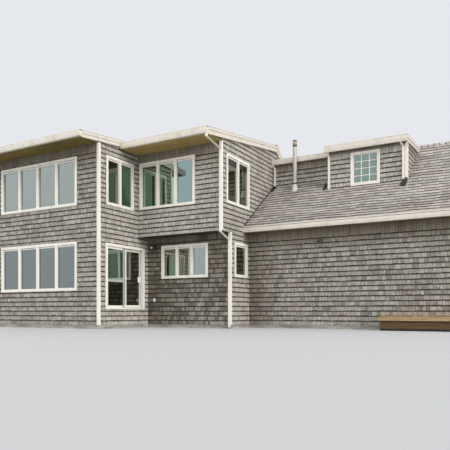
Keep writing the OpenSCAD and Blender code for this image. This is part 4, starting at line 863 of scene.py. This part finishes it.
def bars_before(pane, width, thickness, columns=(), rows=(), head=None, drop=0.0):
    """Boxes just outside a pane: a frame round it whose head may be higher and hang lower by drop, and
    bars at these shares of its width and height."""
    lowest, highest = (np.array(corner) for corner in pane)
    thin = (highest - lowest)[:2].argmin()
    along = 1 - thin
    outside = (1 if lowest[1] > y_wing_ridge else -1) if thin else (-1 if lowest[0] < x_left + 1 else 1)
    face = highest[thin] if outside > 0 else lowest[thin]
    depth = sorted((face, face + outside * thickness))

    def bar(a0, a1, z0, z1):
        """A box from a0 to a1 along the pane and from z0 to z1 up it."""
        corners = np.zeros((2, 3))
        corners[:, thin] = depth
        corners[:, along] = a0, a1
        corners[:, 2] = z0, z1
        return corners

    a0, a1 = lowest[along], highest[along]
    z0, z1 = lowest[2], highest[2]
    half = width / 2
    bars = [bar(a0, a0 + width, z0, z1), bar(a1 - width, a1, z0, z1),
            bar(a0 + width, a1 - width, z0, z0 + width),
            bar(a0 + width, a1 - width, z1 - drop - (head or width), z1 - drop)]
    for share in columns:
        middle = a0 + (a1 - a0) * share
        bars.append(bar(middle - half, middle + half, z0 + width, z1 - width))
    stops = [a0 + (a1 - a0) * share for share in (0.0, *columns, 1.0)]
    for share in rows:
        middle = z0 + (z1 - z0) * share
        bars += [bar(left + half, right - half, middle - half, middle + half)
                 for left, right in zip(stops, stops[1:])]
    return bars


door_low, door_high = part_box("door_frame")
panes = [pane for node in GLAZING for pane in solids_of(node)]
panes = [pane for pane in panes if not (pane[0][0] > door_low.x and pane[1][0] < door_high.x
                                        and pane[0][1] > door_low.y and pane[1][2] < door_high.z)]
on_dormer = [pane[0][2] > wing_top(y_large) and abs(pane[0][1] - y_large) < 0.1 for pane in panes]
dormer_panes = [pane for pane, dormer in zip(panes, on_dormer) if dormer]
plain_panes = [pane for pane, dormer in zip(panes, on_dormer) if not dormer]
boxes("window_sashes", [bar for pane in plain_panes
                        for bar in bars_before(pane, SASH_W, SASH_T, head=SASH_HEAD, drop=HEAD_SHADOW)],
      sash_paint)
boxes("dormer_muntins", [bar for pane in dormer_panes
                         for bar in bars_before(pane, MUNTIN_W, MUNTIN_T, (1 / 3, 2 / 3),
                                                (1 / 4, 2 / 4, 3 / 4))], sash_paint)

# Head shadow strips: thin strips of the black finish between each sash and the trim over it. They are
# painted shade, and show as thin dark lines over the panes.
rubber_and_shade = plain_finish("black_rubber_and_shade", (50, 50, 50), 0.8, 0.0003, rgb(38, 36, 33))
boxes("head_shadow_strips", [bars_before(pane, SASH_W, SASH_T * 0.8, head=HEAD_SHADOW)[3] for pane in plain_panes],
      rubber_and_shade)

# Sliding panel's fittings: an interlock strip down its near side and a plate behind the handle, both of
# white enamelled metal, screwed on. They slide with the panel.
FITTING_T = 0.007
STRIP_W = 0.055
STRIP_IN = 0.05
STRIP_FROM_FIXED = 0.085
PLATE_HALF = 0.09
PLATE_Y = (-0.1, -0.01)
handle_low, handle_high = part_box("door_handle")
strip_y = panel_high.y + STRIP_FROM_FIXED
middle_z = (handle_low.z + handle_high.z) / 2
x_fitting = slider_high.x + FITTING_T
fittings = boxes("panel_fittings", [
    ((slider_high.x, strip_y, slider_low.z + STRIP_IN),
     (x_fitting, strip_y + STRIP_W, slider_high.z - STRIP_IN)),
    ((slider_high.x, handle_low.y + PLATE_Y[0], middle_z - PLATE_HALF),
     (x_fitting, handle_low.y + PLATE_Y[1], middle_z + PLATE_HALF))], white)
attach(fittings, "door_leaf")

# Drip edges: strips of folded cream metal, nailed along each eave over the foot of the lowest roof
# shingles, so that the water drips into the gutter.
DRIP_UP = 0.024
DRIP_DOWN = 0.012
DRIP_T = 0.003
DRIP_GAP = 0.001
eaves = [(left_top, x_out_left, x_step, y_left_low),
         (centre_top, x_step, x_centre + rake_out, y_centre_low),
         (wing_top, x_centre, x_out_right, y_wing_low), (small_top, x_centre, x_large, y_small_low),
         (large_top, x_large - rake_out, x_large_end + rake_out, y_large_low),
         (back_top, x_out_left, x_centre, y_back_low), (wing_back_top, x_centre, x_out_right, y_back_low)]
drips = []
for line, x0, x1, y in eaves:
    out = 1 if y > y_wing_ridge else -1
    lean = ROOF_BOARDS["butt"] * math.sin(math.atan(abs(line(1.0) - line(0.0)))) + DRIP_GAP
    y_pair = sorted((y + out * lean, y + out * (lean + DRIP_T)))
    drips.append(((x0, y_pair[0], line(y) - DRIP_DOWN), (x1, y_pair[1], line(y) + DRIP_UP)))
boxes("drip_edges", drips, metal_paint)

# Downspout shoes: moulded boots of black rubber that lie on the wing's roof, take the water from the
# dormers' pipes and lead it on down the slope. Each is a wedge, low at its mouth and high under the pipe.
# A row holds its left side, mouth, width and length, and its heights at the mouth and under the pipe.
SHOES = ((x_large_end - 0.095, y_large - 0.4, 0.12, 0.4, 0.02, 0.11),
         (x_centre + 0.03, y_small - 0.16, 0.09, 0.16, 0.02, 0.06),
         (x_large - 0.15, y_large - 0.08, 0.07, 0.24, 0.05, 0.14))
SHOE_GAP = 0.01
right, far, up = BOX_PICK.T
wedges = [np.stack([x + width * right, y + long * far,
                    wing_top(y + long * far) + SHOE_GAP + up * np.where(far, tall, thin)], 1)
          for x, y, width, long, thin, tall in SHOES]
board_piece("spout_shoes", wedges, rubber_and_shade)

# Deck: planks of treated softwood, screwed to a rim and joists of the same, over a skirt board that is
# set back below the rim. The skirt's dark brown is partly the wood's own colour and partly painted shade;
# it is painted darker under the rim as painted shade, and black at its foot as painted shadow.
PLANK = 0.142
PLANK_GAP = 0.006
NARROWEST = 0.02
SEAM_HALF = 0.009
SKIRT_TOP = (-0.083, -0.089)
SKIRT_SHADE = (-0.09, -0.155)
SKIRT_FOOT_SHADOW = (0.075, 0.055)
rim_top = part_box("deck_frame")[1].z
deck_wood, place = new_material("deck_wood")
height = place.part("Z")
grain = place.clouds((1.5, 30, 30), 3)
worn = place.clouds((3, 3, 8), 3)
colour = (grain * 0.6 + worn * 0.4).rise(0.25, 0.75).mix(rgb(132, 108, 68), rgb(172, 146, 104))
seam = height.band(rim_top - SEAM_HALF, rim_top + SEAM_HALF, 0.004)
colour = (seam * 0.5).mix(colour, rgb(84, 62, 34))
# Painted shade under the rim, and painted shadow at the skirt's foot.
skirt_board_and_shade = height.rise(*(rim_top + edge for edge in SKIRT_SHADE)).mix(
    rgb(50, 26, 6), grain.mix(rgb(66, 44, 16), rgb(92, 63, 24)))
skirt_board_and_shade = height.rise(*SKIRT_FOOT_SHADOW).mix(skirt_board_and_shade, rgb(14, 11, 7))
colour = height.rise(*(rim_top + edge for edge in SKIRT_TOP)).mix(colour, skirt_board_and_shade)
shade(place, {"Base Color": colour, "Roughness": 0.7}, grain, 0.001)
dress(deck_wood, "deck_frame", "deck_boards")
board_low, board_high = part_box("deck_boards")
lanes = math.ceil((board_high.y - board_low.y) / PLANK)
lane_y = np.minimum(board_low.y + np.arange(lanes + 1) * PLANK, board_high.y)
planks = boxes("deck_planks", [((board_low.x, near, board_low.z),
                                (board_high.x, far - PLANK_GAP if far < board_high.y else far, board_high.z))
                               for near, far in zip(lane_y, lane_y[1:]) if far - near > NARROWEST],
               deck_wood)
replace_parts(planks, "deck_boards")

# Wall light: two heads of black enamelled die casting on a plate, screwed to the wall under the upper
# storey. The left head holds a frosted bulb.
HEAD_TILT = math.radians(30)
HEAD_AT = (0.055, 0.05, 0.05)
HEAD_REACH = 0.1
BULB_BACK = 0.02
BULB_R = 0.042
BULB_SIDES = 24
BULB_RINGS = 12
black = plain_finish("black_enamel", (80, 80, 80), 0.4, 0.0002, rgb(24, 24, 24))
dress(black, "wall_light")
bulb_white = plain_finish("frosted_bulb", (60, 60, 60), 0.35, 0.0002, rgb(232, 230, 222))
light_low, light_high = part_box("wall_light")
head_axis = np.array([0.0, -math.cos(HEAD_TILT), -math.sin(HEAD_TILT)])
side_axis = np.array([1.0, 0.0, 0.0])
up_axis = np.cross(side_axis, head_axis)
pivot = np.array([light_low.x + HEAD_AT[0], y_lower - HEAD_AT[1], light_high.z - HEAD_AT[2]])
# The ball: at the angles dip from the head's axis and turn round it, a point lies BULB_R from the middle.
turn, dip = np.meshgrid(np.linspace(0, 2 * math.pi, BULB_SIDES, endpoint=False),
                        np.linspace(0, math.pi, BULB_RINGS + 1))
ball = pivot + head_axis * HEAD_REACH - head_axis * BULB_BACK + BULB_R * (
    np.sin(dip)[..., None] * (np.cos(turn)[..., None] * side_axis + np.sin(turn)[..., None] * up_axis)
    + np.cos(dip)[..., None] * head_axis)
ring, step = np.meshgrid(np.arange(BULB_RINGS) * BULB_SIDES, np.arange(BULB_SIDES), indexing="ij")
following = (step + 1) % BULB_SIDES
ball_faces = np.stack([ring + step, ring + following, ring + BULB_SIDES + following,
                       ring + BULB_SIDES + step], -1).reshape(-1, 4)
new_piece("lamp_bulb", ball.reshape(-1, 3), ball_faces, bulb_white)

# Wall vent: a hood of brown enamelled sheet with three louvres, screwed to the wing's front wall under
# the eave.
brown_metal = plain_finish("brown_vent_enamel", (25, 25, 25), 0.6, 0.0004, rgb(52, 46, 37), rgb(72, 64, 52),
                           detail=3)
dress(brown_metal, "wall_vent")

# Studio: a pale floor without an edge, a soft key light from the right, a fill light from the front and
# pale air that glows low in the front left, where the fronts' panes look.
FLOOR_REACH = 400.0
GLOW_FROM = np.array([-0.54, -0.83, 0.14])
GLOW_EDGE = math.cos(math.radians(75))
GLOW_FULL = math.cos(math.radians(28))
pale, place = new_material("studio_floor")
shade(place, {"Base Color": (0.5, 0.5, 0.49, 1.0), "Roughness": 0.9})
mesh = bpy.data.meshes.new("floor")
corners = np.array([[-1, -1, 0], [1, -1, 0], [1, 1, 0], [-1, 1, 0]]) * FLOOR_REACH
mesh.from_pydata(corners.tolist(), [], [[0, 1, 2, 3]])
mesh.materials.append(pale)
floor = bpy.data.objects.new("floor", mesh)
bpy.context.scene.collection.objects.link(floor)


def soft_light(name, towards, strength, spread):
    """A sun lamp whose light comes from the direction towards, blurred over spread degrees."""
    x, y, z = towards
    lamp = bpy.data.lights.new(name, "SUN")
    lamp.energy = strength
    lamp.angle = math.radians(spread)
    lamp_object = bpy.data.objects.new(name, lamp)
    lamp_object.rotation_euler = (math.atan2(math.hypot(x, y), z), 0, math.atan2(x, -y))
    bpy.context.scene.collection.objects.link(lamp_object)


soft_light("key_light", (0.88, -0.24, 0.4), strength=2.6, spread=40)
soft_light("fill_light", (0.25, -0.95, 0.2), strength=0.3, spread=50)
world = bpy.data.worlds.new("studio_air")
world.use_nodes = True
world.node_tree.nodes.clear()
look = Wire(world.node_tree).node("TexCoord", out=3)
towards_glow = look.node("VectorMath", {"operation": "DOT_PRODUCT"},
                         {0: look, 1: tuple(GLOW_FROM / np.linalg.norm(GLOW_FROM))}, out=1)
glow = towards_glow.rise(GLOW_EDGE, GLOW_FULL)
air = look.node("Background", None, {"Color": (0.93, 0.95, 1.0, 1.0), "Strength": glow * 0.8 + 0.85})
look.node("OutputWorld", None, {"Surface": air})
bpy.context.scene.world = world
bpy.context.scene.view_settings.view_transform = "Standard"
